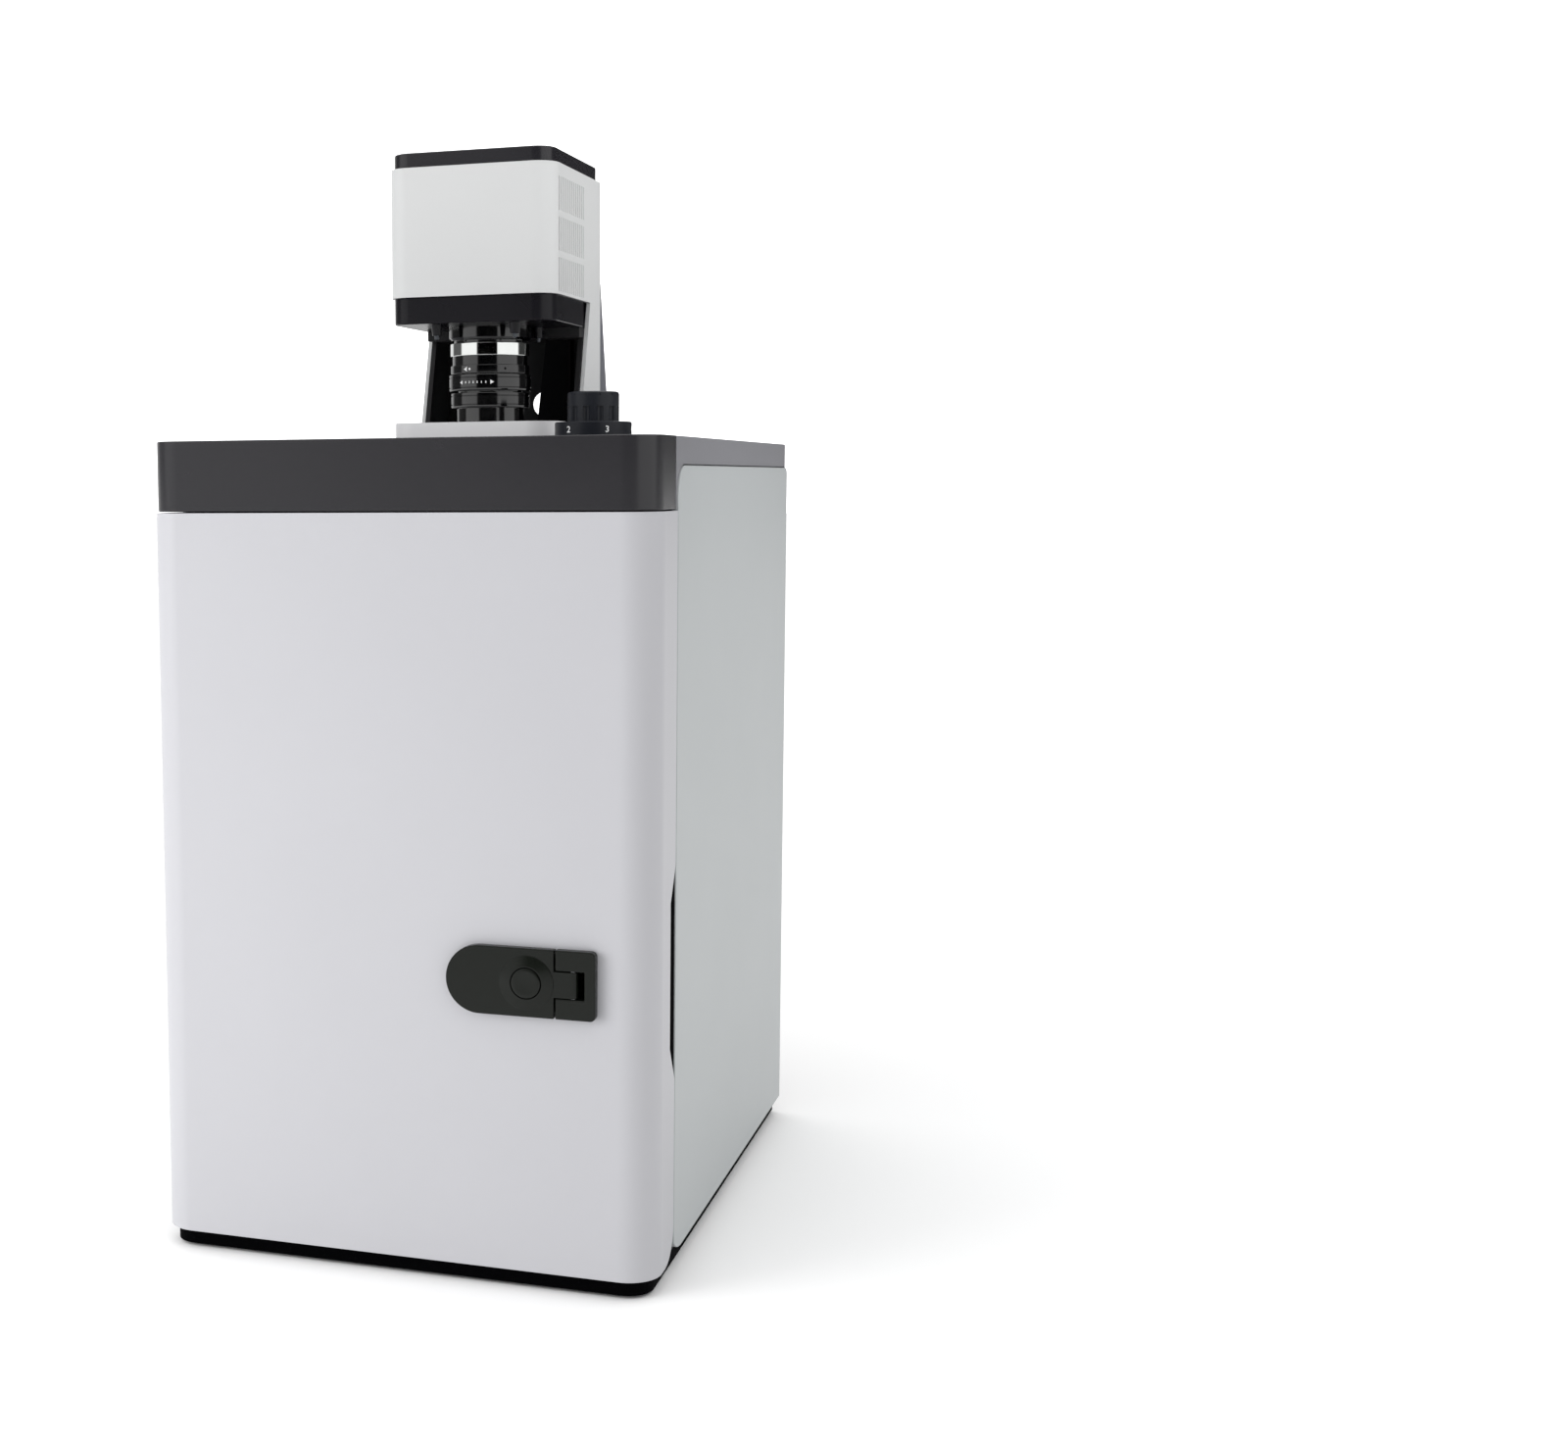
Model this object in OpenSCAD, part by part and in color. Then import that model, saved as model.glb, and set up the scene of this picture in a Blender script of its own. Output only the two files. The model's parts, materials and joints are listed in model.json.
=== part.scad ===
// Gel documentation cabinet: a light-tight chamber behind a hinged door, a filter wheel
// under the lid and a cooled camera head that looks straight down through the lid.
// Millimetres, +Z up. The origin is on the floor under the middle of the object's
// outline, and the door faces -Y.

$fn = 72;

/* [Cabinet] */
// Width over the door and the side panels
cab_w = 300; // [290:1:340]
// Depth from the door's face to the back edge
cab_d = 385; // [375:1:450]
// Height from the floor to the lid's top face
cab_h = 474.5; // [465:0.5:540]
// Radius of the door's upright front corners
corner_r = 20; // [12:0.5:24]
// How far the lid and the plinth are set back from the door's faces
trim_inset = 4.5; // [3:0.5:6]
// Radius of the lid's and the plinth's rear corners
rear_r = 4; // [2:0.5:8]

/* [Base] */
// Height that the feet hold the plinth off the floor
foot_stand = 2; // [1:0.5:5]
// Radius of a foot
foot_r = 10; // [7:0.5:14]
// Depth of the pocket that holds a foot
foot_seat = 3; // [2:0.5:4]
// Distance of a foot's axis from the plinth's edges
foot_inset = 26; // [18:1:40]
// Height of the plinth
plinth_h = 8.5; // [7:0.5:14]
// Wall of the plinth
plinth_wall = 3; // [2:0.5:5]

/* [Side panels] */
// Thickness of a side panel
panel_t = 4; // [2.5:0.5:4.5]
// Gap between the door's rear edge and a side panel
seam = 2; // [1:0.5:3]
// Height of the lid's band that shows above a side panel
lid_band = 16; // [10:1:20]
// Radius of a panel's upper front corner
shoulder_r = 18; // [10:1:22]
// Radius of the sweep at a panel's lower front corner
toe_r = 26; // [18:1:34]
// Length of that sweep along the panel's lower edge
toe_run = 18; // [10:1:18]
// Radius of a panel's upper rear corner
heel_top_r = 5; // [2:1:10]

/* [Door] */
// Depth of the door from its face to the seam
door_wrap = 48; // [44:1:60]
// Wall of the door's shell
door_wall = 3; // [2:0.5:4]
// Gap above and below the door
door_gap = 0.7; // [0.5:0.1:1.5]
// Radius of the door's lower rear edge
door_heel_r = 20; // [12:1:24]
// Distance of the pivot's axis from the door's hinge side
pivot_inset = 8.5; // [8:0.5:10]
// Distance of the pivot's axis in front of the side panel's edge
pivot_reach = 11.5; // [11:0.5:14]
// Radius of the pivot pins
pivot_pin_r = 2.5; // [1.5:0.25:3]
// Height of a pivot block
pivot_block_h = 12; // [8:1:20]
// Thickness of the door's inner panel
liner_t = 1.5; // [1:0.25:3]
// Distance of the inner panel's rear face inside the seam
liner_recess = 2; // [2:0.25:3]
// Thickness of the light-trap pad on the inner panel
pad_t = 2; // [1:0.25:2.5]

/* [Finger pull] */
// Height of the finger pull's middle above the floor
pull_z = 176.5; // [150:1:260]
// Height of its straight front edge
pull_h = 83; // [60:1:110]
// Height of the taper above and below that edge
pull_taper = 21; // [10:1:30]
// Depth of the finger pull in front of the seam
pull_d = 11.5; // [9:0.5:15]
// Depth of the cup behind it, in from the door's side
cup_d = 14; // [10:1:20]

/* [Latch] */
// Height of the latch's middle above the floor
latch_z = 177.4; // [120:1:300]
// Distance of the latch's square end from the door's side
latch_inset = 31.8; // [25:0.5:60]
// Length of the latch
latch_len = 85.8; // [80:0.5:100]
// Width of the latch
latch_w = 38.5; // [36:0.5:46]
// Height of the handle's face above the door
latch_rise = 5.5; // [5:0.25:8]
// Length of the hinge lugs
lug_len = 22.6; // [21:0.2:26]
// Gap between the handle and the lugs
handle_gap = 0.8; // [0.6:0.1:1.2]
// Width of the handle's tongue between the lugs
tongue_w = 14.6; // [12:0.2:20]
// Distance of the hinge pin from the latch's square end
pin_inset = 13.2; // [11:0.2:14]
// Radius of the hinge pin
latch_pin_r = 1.5; // [1:0.1:1.8]
// Height of the round boss above the handle's face
boss_rise = 1.5; // [0.5:0.25:2.5]
// Radius of the boss at its foot
boss_r = 15.5; // [14:0.5:17]
// Distance of the boss from the latch's square end
boss_inset = 39; // [39:0.2:43]
// Radius of the push button
button_r = 8.5; // [7:0.1:10]
// Height of the button above the boss
button_rise = 0.5; // [0.25:0.25:1.5]
// Travel of the button
button_travel = 2.5; // [1.5:0.25:3.5]

/* [Chamber] */
// Distance of the chamber's walls from the cabinet's sides
chamber_side = 25; // [23:0.5:35]
// Depth of the bay between the chamber and the rear panel
rear_bay = 34.5; // [30:0.5:60]
// Height of the bay between the plinth and the chamber's floor
bay_h = 50; // [40:1:80]
// Height of the space between the chamber's ceiling and the lid
ceiling_gap = 13.5; // [13.5:0.5:20]
// Thickness of the sheet that the carcass and the chamber are folded from
sheet_t = 1.5; // [1:0.25:2.5]
// Thickness of the carcass's front flange
flange_t = 2.5; // [1.5:0.25:3]
// Width of the foam seal round the mouth
seal_w = 5.5; // [4:0.5:6]
// Distance of the foam seal from the mouth's edge
seal_inset = 2.5; // [1.5:0.5:3]
// Radius of the openings that the lens looks through
aperture_r = 24; // [20:0.5:28]

/* [Tray and shelves] */
// Gap between the sample tray's sides and the chamber's walls
tray_side = 17; // [14:0.5:20]
// Depth of the sample tray
tray_d = 205; // [180:1:210]
// Height of the sample tray
tray_h = 10; // [8:1:16]
// Wall of the sample tray
tray_wall = 2; // [1.5:0.25:3]
// Height of the lowest shelf rail above the chamber's floor
rail_z = 32; // [20:1:50]
// Distance from one pair of shelf rails to the next
rail_pitch = 78; // [60:1:84]
// Width of a shelf rail
rail_w = 22; // [20:0.5:26]
// Width and height of a light housing in the chamber's upper corner
light_w = 32; // [24:1:40]
// Height of the light housing's lip
light_lip = 8; // [4:0.5:12]
// Thickness of the light's diffuser
diffuser_t = 1.2; // [0.8:0.1:2]

/* [Rear bay] */
// Length of a ventilation slot
grille_w = 56; // [40:1:80]
// Height of a ventilation slot
grille_slot = 3; // [2:0.25:4]
// Distance from one ventilation slot to the next
grille_pitch = 7; // [5:0.5:9]
// Number of slots in a grille
grille_rows = 10; // [4:1:12]
// Distance of a grille's middle from the panel's middle
grille_x = 60; // [45:1:75]
// Thickness of the rear panel
rear_t = 2; // [1.5:0.25:3]
// Distance of the mains inlet from the cabinet's side
inlet_side = 62; // [50:1:80]
// Width of the mains inlet
inlet_w = 27; // [26:0.5:30]
// Height of the mains inlet
inlet_h = 20; // [19:0.5:24]
// Depth of the mains inlet
inlet_d = 20; // [18:0.5:28]
// Distance from the mains inlet to the power switch
switch_step = 40; // [36:1:60]
// Width of the power switch
switch_w = 19; // [15:0.5:22]
// Height of the power switch's opening
switch_h = 13; // [12.5:0.5:16]
// Distance of the data socket from the cabinet's side
usb_side = 90; // [40:1:110]
// Width of the data socket
usb_w = 12; // [10:0.5:14]
// Height of the data socket
usb_h = 11; // [9:0.5:13]
// Height of the electronics above the chamber's floor
bay_lift = 40; // [10:1:60]
// Width of the power supply
supply_w = 110; // [90:1:115]
// Depth of the power supply
supply_d = 24; // [18:0.5:25]
// Height of the power supply
supply_h = 90; // [70:1:120]
// Width of the control board
board_w = 110; // [100:1:115]
// Height of the control board
board_h = 130; // [120:1:160]
// Distance of the power supply and the board from the middle
bay_split = 9; // [5:0.5:12]

/* [Lid and filter drive] */
// Height of the lid
lid_h = 40; // [38:0.5:50]
// Wall of the lid
lid_wall = 3; // [2:0.5:4]
// Inset of the lid's outline from the door's outline
lid_inset = 1; // [0:0.25:3]
// Thickness of the black fascia that wraps the lid's front
fascia_t = 2.5; // [1.5:0.25:4]
// Distance of the lens's axis behind the door's face
lens_inset = 180; // [176:1:190]
// Radius from the wheel's axis to a filter's axis
filter_orbit = 62; // [60:1:66]
// Angle of the wheel's axis from the lens's axis, seen from above
wheel_angle = 60; // [50:1:64]
// Radius of a filter
filter_r = 26; // [25:0.25:27]
// Thickness of the filter wheel
wheel_t = 5; // [4:0.5:7]
// Thickness of a filter
filter_t = 3; // [2:0.25:3.5]
// Distance of the knob's axis to the side of the lens's axis
knob_x = 82.7; // [80:0.5:95]
// Distance of the knob's axis behind the door's face
knob_inset = 120; // [110:1:124]
// Radius of the knob's numbered skirt
dial_r = 22.5; // [20:0.5:26]
// Height of the numbered skirt
dial_h = 10; // [9:0.5:14]
// Radius of the knob's grip
grip_r = 15.1; // [12:0.1:18]
// Height of the knob's grip
grip_h = 17.5; // [14:0.5:24]
// Number of flutes round the grip
flutes = 12; // [8:1:16]
// Radius of the two belt pulleys
pulley_r = 21; // [16:0.5:24]
// Height of the two belt pulleys
pulley_h = 8; // [6:0.5:9]
// Thickness of the belt
belt_t = 1.2; // [0.8:0.1:1.5]
// Radius of the knob's shaft and of the wheel's spindle
shaft_r = 4; // [3:0.25:6]

/* [Camera head] */
// Width of the head's white housing
head_w = 106; // [100:1:120]
// Depth of the housing
head_d = 112; // [110:1:130]
// Distance of the head's front behind the door's face
head_inset = 138; // [134:1:140]
// Radius of the head's upright front corners
head_r = 11.5; // [8:0.5:16]
// Thickness of the foot plate under the column
foot_plate_t = 12; // [9:0.5:16]
// Clear height between the foot plate and the head's skirt
throat_h = 59.5; // [56:0.5:62]
// Height of the head's black skirt
skirt_h = 16; // [12:0.5:20]
// Height of the white housing above the skirt
housing_h = 77; // [74:0.5:100]
// Height of the black cap
cap_h = 9; // [5:0.5:12]
// Wall of the housing
housing_wall = 2.5; // [2:0.25:3.5]
// Depth of a leg at its top
leg_top = 27.5; // [22:0.5:34]
// Depth of a leg at its foot
leg_foot = 49; // [40:0.5:52]
// How far the rear cover stands out behind the legs at its foot
cover_foot = 22; // [14:0.5:30]
// Height of the rear cover above the foot plate
cover_h = 90; // [70:1:100]
// Number of vent slots in a group
slots = 13; // [8:1:13]
// Distance from one vent slot to the next
slot_pitch = 4.5; // [4:0.1:4.5]
// Width of a vent slot
slot_w = 1.6; // [1:0.1:2]
// Height of a group of vent slots
vent_h = 20; // [14:0.5:20]
// Distance from one group of vent slots to the next
vent_step = 23.8; // [21:0.1:24]

/* [Camera] */
// Width of the camera's body
camera_w = 72; // [60:1:80]
// Height of the camera's body
camera_h = 36; // [28:0.5:38]
// Height of the heat sink
sink_h = 16; // [10:0.5:17]
// Width of the fan
fan_w = 60; // [50:1:64]
// Height of the fan
fan_h = 12; // [9:0.5:13]
// Thickness of a fin of the heat sink
fin_t = 1.5; // [1:0.1:2]

/* [Lens] */
// Radius of the lens's silver ring
silver_r = 24.6; // [23:0.1:26]
// Radius of the focus ring
focus_r = 25.5; // [23:0.1:27]
// Radius of the aperture ring
iris_r = 24.5; // [23:0.1:27]
// Radius of the lens's nose
nose_r = 21; // [20.5:0.1:22]
// Radius of the barrel inside the rings
barrel_r = 20; // [19:0.1:20]
// Radius of the clear way through the lens
bore_r = 17; // [14:0.5:18]

/* [Fits] */
// Running clearance of a shaft in its bore, on the radius
run = 0.05; // [0.03:0.01:0.08]
// Clearance between parts that pass each other
clear = 0.3; // [0.2:0.05:0.5]

/* [Hidden] */

// Width and depth
half_w = cab_w / 2;
button_proud = latch_rise + boss_rise + button_rise;
front_y = (button_proud - cab_d) / 2;
back_y = front_y + cab_d;
trim_half = half_w - trim_inset;
trim_r = corner_r - trim_inset;
panel_in = half_w - panel_t;
seam_y = front_y + door_wrap;
panel_y = seam_y + seam;
flange_y = panel_y + 0.5;
rear_y = back_y - panel_t;
lid_half = half_w - lid_inset;
lid_y0 = front_y + lid_inset;
lid_r = corner_r - lid_inset;
// Heights
plinth_top = foot_stand + plinth_h;
lid_z0 = cab_h - lid_h;
door_z0 = plinth_top + door_gap;
door_z1 = lid_z0 - door_gap;
panel_z0 = plinth_top + 1;
panel_z1 = cab_h - lid_band;
chamber_z0 = plinth_top + bay_h;
chamber_z1 = lid_z0 - ceiling_gap;
chamber_y0 = flange_y + flange_t;
chamber_y1 = rear_y - rear_bay - sheet_t;
chamber_half = half_w - chamber_side;
tray_half = chamber_half - tray_side;
bay_y = chamber_y1 + sheet_t;
bay_z = chamber_z0 + bay_lift;
// Door
door_in = half_w - door_wall;
liner_y1 = seam_y - liner_recess;
liner_y0 = liner_y1 - liner_t;
pivot_x = pivot_inset - half_w;
pivot_y = panel_y - pivot_reach;
block_z0 = door_z0 + door_heel_r;
block_z1 = door_z1 - door_wall - pivot_block_h;
pivot_sink = pivot_block_h - 2;
catch_x = half_w - 11;
catch_t = 0.8;
catch_zs = [chamber_z0 + 30, pull_z + 110, chamber_z1 - 30];
// Latch
latch_x = half_w - latch_inset;
latch_face = front_y - latch_rise;
latch_back = front_y - 0.4;
pan_d = 12;
pan_wall = 1.5;
pan_x0 = latch_x - latch_len + 5;
pan_x1 = latch_x - 2;
pan_h = latch_w - 6;
pin_x = latch_x - pin_inset;
knuckle_r = 3.1;
pin_y = latch_face + knuckle_r;
boss_x = latch_x - boss_inset;
hub_r = button_r + 3;
hub_floor = front_y + 5.5;
button_back = front_y - 1;
// Lens and drive
lens_y = front_y + lens_inset;
wheel_x = filter_orbit * cos(wheel_angle);
wheel_y = lens_y + filter_orbit * sin(wheel_angle);
wheel_r = filter_orbit + filter_r + 3;
wheel_z = lid_z0 + 6;
pulley_z = wheel_z + wheel_t + 3;
pulley_rim = 1.2;
knob_y = front_y + knob_inset;
belt_run = norm([wheel_x - knob_x, wheel_y - knob_y]);
belt_angle = atan2(wheel_y - knob_y, wheel_x - knob_x);
spindle_top = pulley_z + pulley_h + 4;
// Column and head
head_half = head_w / 2;
head_y0 = front_y + head_inset;
head_y1 = head_y0 + head_d;
base_top = cab_h + foot_plate_t;
skirt_z = base_top + throat_h;
housing_z = skirt_z + skirt_h;
cap_z = housing_z + housing_h;
skirt_in = 1.5;
skirt_short = 37.5;
skirt_y1 = head_y1 - skirt_short;
cap_in = 2;
head_rim = 5;
core_t = 3;
core_back = 12;
core_back_y = head_y1 - core_back;
lead_y = core_back_y - 9;
lead_r = 6;
core_half = head_half - housing_wall - clear;
leg_slope = (leg_foot - leg_top) / (housing_z - base_top);
window_x = 18;
window_z = base_top + 13.5;
window_r = 8;
window_shift = 12;
vent_w = (slots - 1) * slot_pitch + slot_w;
// Lens stack, as depths below the skirt
adapter_h = 9;
silver_top = 10.8;
silver_bottom = 18.6;
lock_top = 24.1;
lock_bottom = 29.5;
focus_top = 29.9;
focus_bottom = 40;
iris_top = 41;
iris_bottom = 50.3;
nose_top = iris_bottom + 0.3;
nose_dip = 6.5;
lens_floor = base_top - nose_dip;
// Camera stack
camera_z = housing_z + 2;
camera_half = camera_w / 2;
sink_z = camera_z + camera_h;
fan_z = sink_z + sink_h;
fan_half = fan_w / 2;
// Rear connectors, seen from the front
port_z = plinth_top + bay_h / 2;
inlet_x = inlet_side - half_w;
switch_x = inlet_x + switch_step;
usb_x = half_w - usb_side;

// ---- helpers ----

// What a round of radius r takes off a square corner at the origin
module corner_off(r) {
    difference() {
        translate([-1, -1]) square(r + 1);
        translate([r, r]) circle(r);
    }
}

// Rectangle with its corner radii given from the low corner round to the left upper one
module rounded(size, radii) {
    difference() {
        square(size);
        if (radii[0] > 0) corner_off(radii[0]);
        if (radii[1] > 0) translate([size[0], 0]) mirror([1, 0]) corner_off(radii[1]);
        if (radii[2] > 0) translate(size) rotate(180) corner_off(radii[2]);
        if (radii[3] > 0) translate([0, size[1]]) mirror([0, 1]) corner_off(radii[3]);
    }
}

// Plan outline centred on X = 0, with its own radii at the front and at the back
module footprint(half, y0, y1, front, back) {
    translate([-half, y0]) rounded([2 * half, y1 - y0], [front, front, back, back]);
}

// Rectangle centred on the origin with one radius at its corners
module plate(w, h, r) {
    translate([-w / 2, -h / 2]) rounded([w, h], [r, r, r, r]);
}

module along_z(z0, z1) {
    translate([0, 0, z0]) linear_extrude(z1 - z0) children();
}

// A profile drawn as (Y, Z)
module along_x(x0, x1) {
    translate([x0, 0, 0]) rotate([90, 0, 90]) linear_extrude(x1 - x0) children();
}

// A profile drawn as (X, Z)
module along_y(y0, y1) {
    translate([0, y1, 0]) rotate([90, 0, 0]) linear_extrude(y1 - y0) children();
}

module at_lens(z) {
    translate([0, lens_y, z]) children();
}

module ring(outer, inner, h) {
    difference() {
        cylinder(r = outer, h = h);
        translate([0, 0, -1]) cylinder(r = inner, h = h + 2);
    }
}

module both_sides() {
    children();
    mirror([1, 0, 0]) children();
}

// ---- base ----

module foot_places() {
    x = trim_half - foot_inset;
    for (side = [-1, 1], y = [front_y + trim_inset + foot_inset, back_y - foot_inset])
        translate([side * x, y, 0]) children();
}

module rubber_feet() {
    bevel = 1;
    color("#141416") foot_places() rotate_extrude()
        polygon([[0, 0], [foot_r - bevel, 0], [foot_r, bevel], [foot_r, foot_stand + foot_seat],
            [0, foot_stand + foot_seat]]);
}

module base_plinth() {
    skin = 2;
    color("#050506") difference() {
        along_z(foot_stand, plinth_top)
            footprint(trim_half, front_y + trim_inset, back_y, trim_r, rear_r);
        along_z(foot_stand - 1, plinth_top - skin) difference() {
            footprint(trim_half - plinth_wall, front_y + trim_inset + plinth_wall,
                back_y - plinth_wall, trim_r - plinth_wall, 0);
            foot_places() circle(foot_r + plinth_wall);
        }
        foot_places() translate([0, 0, foot_stand - 1]) cylinder(r = foot_r, h = foot_seat + 1);
    }
}

// ---- cabinet ----

module mouth(grow, r) {
    translate([0, (chamber_z0 + chamber_z1) / 2])
        plate(2 * (chamber_half + grow), chamber_z1 - chamber_z0 + 2 * grow, r);
}

module carcass() {
    inner = panel_in - sheet_t;
    color("#1c1c20") difference() {
        translate([-panel_in, flange_y, plinth_top])
            cube([2 * panel_in, rear_y - flange_y, lid_z0 - plinth_top]);
        translate([-inner, chamber_y0, plinth_top + sheet_t])
            cube([2 * inner, cab_d, lid_z0 - plinth_top - 2 * sheet_t]);
        along_y(flange_y - 1, chamber_y0 + 1) mouth(0, 6);
        at_lens(lid_z0 - sheet_t - 1) cylinder(r = aperture_r, h = sheet_t + 2);
    }
}

module side_panel() {
    toe_h = toe_r - sqrt(toe_r * toe_r - toe_run * toe_run);
    depth = back_y - panel_y;
    height = panel_z1 - panel_z0;
    color("#b8bbc0") along_x(panel_in, half_w) translate([panel_y, panel_z0]) difference() {
        rounded([depth, height], [0, 0, heel_top_r, shoulder_r]);
        difference() {
            translate([-1, -1]) square([toe_run + 1, toe_h + 1]);
            translate([toe_run, toe_r]) circle(toe_r);
        }
    }
}

module side_panel_right() side_panel();

module side_panel_left() mirror([1, 0, 0]) side_panel();

module rear_grille(x, z) {
    for (row = [0 : grille_rows - 1])
        translate([x, z + row * grille_pitch]) plate(grille_w, grille_slot, grille_slot / 2 - 0.1);
}

module rear_panel() {
    edge = panel_in - clear;
    grille_drop = 90;
    color("#2a2a2e") along_y(rear_y, rear_y + rear_t) difference() {
        translate([-edge, plinth_top]) square([2 * edge, lid_z0 - plinth_top]);
        for (side = [-1, 1]) rear_grille(side * grille_x, chamber_z1 - grille_drop);
        translate([inlet_x, port_z]) square([inlet_w, inlet_h], center = true);
        translate([switch_x, port_z]) square([switch_w, switch_h], center = true);
        translate([usb_x, port_z]) square([usb_w, usb_h], center = true);
    }
}

module rear_screw_places() {
    edge = 10;
    for (x = [-1, 0, 1], z = [plinth_top + edge, lid_z0 - edge])
        translate([x * (panel_in - edge), rear_y + rear_t, z]) children();
    for (side = [-1, 1], z = [lid_z0 / 3 + plinth_top, lid_z0 * 2 / 3])
        translate([side * (panel_in - edge), rear_y + rear_t, z]) children();
}

module rear_screws() {
    head_r1 = 3;
    head_t = 1.6;
    color("#303034") rear_screw_places() rotate([-90, 0, 0]) difference() {
        cylinder(r = head_r1, h = head_t);
        translate([0, 0, head_t - 0.9]) cylinder(r = 1.3, h = 2, $fn = 6);
    }
}

// Plan outline of the lid, moved in by an inset
module lid_plan(inset) {
    footprint(lid_half - inset, lid_y0 + inset, back_y - inset, lid_r - inset,
        max(rear_r - inset, 0));
}

// Rebate in the lid's flank that a side panel lies in, with its own shoulder
module panel_rebate() {
    along_x(panel_in - clear, half_w + 1) translate([panel_y - door_gap, lid_z0 - 1])
        rounded([back_y - panel_y + 2 * door_gap, panel_z1 + door_gap - lid_z0 + 1],
            [0, 0, heel_top_r + door_gap, shoulder_r + door_gap]);
}

module top_cover() {
    room_half = panel_in - clear - lid_wall;
    seat = fascia_t + clear;
    color("#5a5b61") difference() {
        along_z(lid_z0, cab_h) {
            intersection() {
                lid_plan(0);
                translate([-half_w, seam_y + clear]) square([cab_w, cab_d]);
            }
            // the fascia lies against this narrower front
            footprint(lid_half - seat, lid_y0 + fascia_t, seam_y + lid_wall, lid_r - fascia_t, 0);
        }
        both_sides() panel_rebate();
        // room for the filter drive, open to the carcass below
        along_z(lid_z0 - 1, cab_h - lid_wall)
            footprint(room_half, chamber_y0, back_y - lid_wall, 0, 0);
        // hollow front above the door, with its own floor
        along_z(lid_z0 + lid_wall, cab_h - lid_wall)
            footprint(room_half, lid_y0 + fascia_t + lid_wall, back_y - lid_wall,
                lid_r - fascia_t - lid_wall, 0);
        // the flanks stay one wall thick above the side panels
        along_z(panel_z1 + door_gap + lid_wall, cab_h - lid_wall)
            footprint(lid_half - lid_wall, seam_y + clear + lid_wall, back_y - lid_wall, 0, 0);
        at_lens(cab_h - lid_wall - 1) cylinder(r = aperture_r, h = lid_wall + 2);
        at_knob(cab_h - lid_wall - 1) cylinder(r = shaft_r + 3, h = lid_wall + 2);
        translate([0, lead_y, cab_h - lid_wall - 1]) cylinder(r = lead_r, h = lid_wall + 2);
    }
}

module lid_fascia() {
    color("#222126") along_z(lid_z0, cab_h) difference() {
        lid_plan(0);
        lid_plan(fascia_t);
        translate([-half_w, seam_y]) square([cab_w, cab_d]);
    }
}

module chamber_liner() {
    half = chamber_half + sheet_t;
    depth = chamber_y1 - chamber_y0;
    height = chamber_z1 - chamber_z0;
    color("#101012") difference() {
        translate([-half, chamber_y0, chamber_z0 - sheet_t])
            cube([2 * half, depth + sheet_t, height + 2 * sheet_t]);
        translate([-chamber_half, chamber_y0 - 1, chamber_z0])
            cube([2 * chamber_half, depth + 1, height]);
        at_lens(chamber_z1 - 1) cylinder(r = aperture_r, h = sheet_t + 2);
    }
}

module door_seal() {
    color("#18181a") along_y(liner_y1 + clear, flange_y) difference() {
        mouth(seal_inset + seal_w, 8);
        mouth(seal_inset, 6);
    }
}

module door_magnets() {
    color("#8d8f92") for (z = catch_zs)
        translate([catch_x, liner_y1 + catch_t + clear, z]) rotate([-90, 0, 0])
            cylinder(r = 2.5, h = flange_y - liner_y1 - catch_t - clear);
}

module shelf_rails() {
    x1 = chamber_half;
    lip = 12;
    color("#222225") both_sides() for (level = [0 : 3])
        translate([0, 0, chamber_z0 + rail_z + level * rail_pitch])
            along_y(chamber_y0 + 8, chamber_y1 - 4)
                polygon([[x1, 0], [x1, lip], [x1 - sheet_t, lip], [x1 - sheet_t, 2],
                    [x1 - rail_w, 2], [x1 - rail_w, 0]]);
}

module sample_tray() {
    y0 = chamber_y1 - 12 - tray_d;
    z0 = chamber_z0 + rail_z + 2.2;
    half = tray_half;
    grip = [70, 8];
    color("#e2e3e4") difference() {
        union() {
            along_z(z0, z0 + tray_h) footprint(half, y0, y0 + tray_d, 4, 4);
            // front rail that a hand pulls, with its grip
            along_y(y0, y0 + 4) translate([0, z0 + 9]) plate(2 * half - 20, 18, 4);
        }
        along_z(z0 + tray_wall, z0 + 40)
            footprint(half - tray_wall, y0 + 4, y0 + tray_d - tray_wall, 2, 2);
        along_y(y0 - 1, y0 + 5) translate([0, z0 + 11]) plate(grip[0], grip[1], 3.9);
    }
}

// Light housings in the chamber's upper corners, with a face that slants to the tray.
// Corners of that face, for one side:
function slant_top(off) = [chamber_half - light_w + off, chamber_z1 - light_lip - off];

function slant_foot(off) = [chamber_half - light_lip - off, chamber_z1 - light_w + off];

module light_bars() {
    x1 = chamber_half;
    color("#17171a") both_sides() along_y(chamber_y0 + 30, chamber_y1 - 30)
        polygon([[x1, chamber_z1], [x1 - light_w, chamber_z1], slant_top(0), slant_foot(0),
            [x1, chamber_z1 - light_w]]);
}

module light_diffusers() {
    lift = [-diffuser_t, -diffuser_t];
    color("#eef2f2") both_sides() along_y(chamber_y0 + 36, chamber_y1 - 36)
        polygon([slant_top(2), slant_foot(2), slant_foot(2) + lift, slant_top(2) + lift]);
}

// Closed supply with a row of slots near its top
module power_supply() {
    stand = 3;
    edge = 12;
    pitch = 10;
    slot = [4, 12];
    color("#9a9c9f") translate([-bay_split - supply_w, bay_y + stand, bay_z]) difference() {
        cube([supply_w, supply_d, supply_h]);
        for (x = [edge : pitch : supply_w - edge]) translate([x, -1, supply_h - slot[1] - 8])
            cube([slot[0], supply_d + 2, slot[1]]);
    }
}

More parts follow.
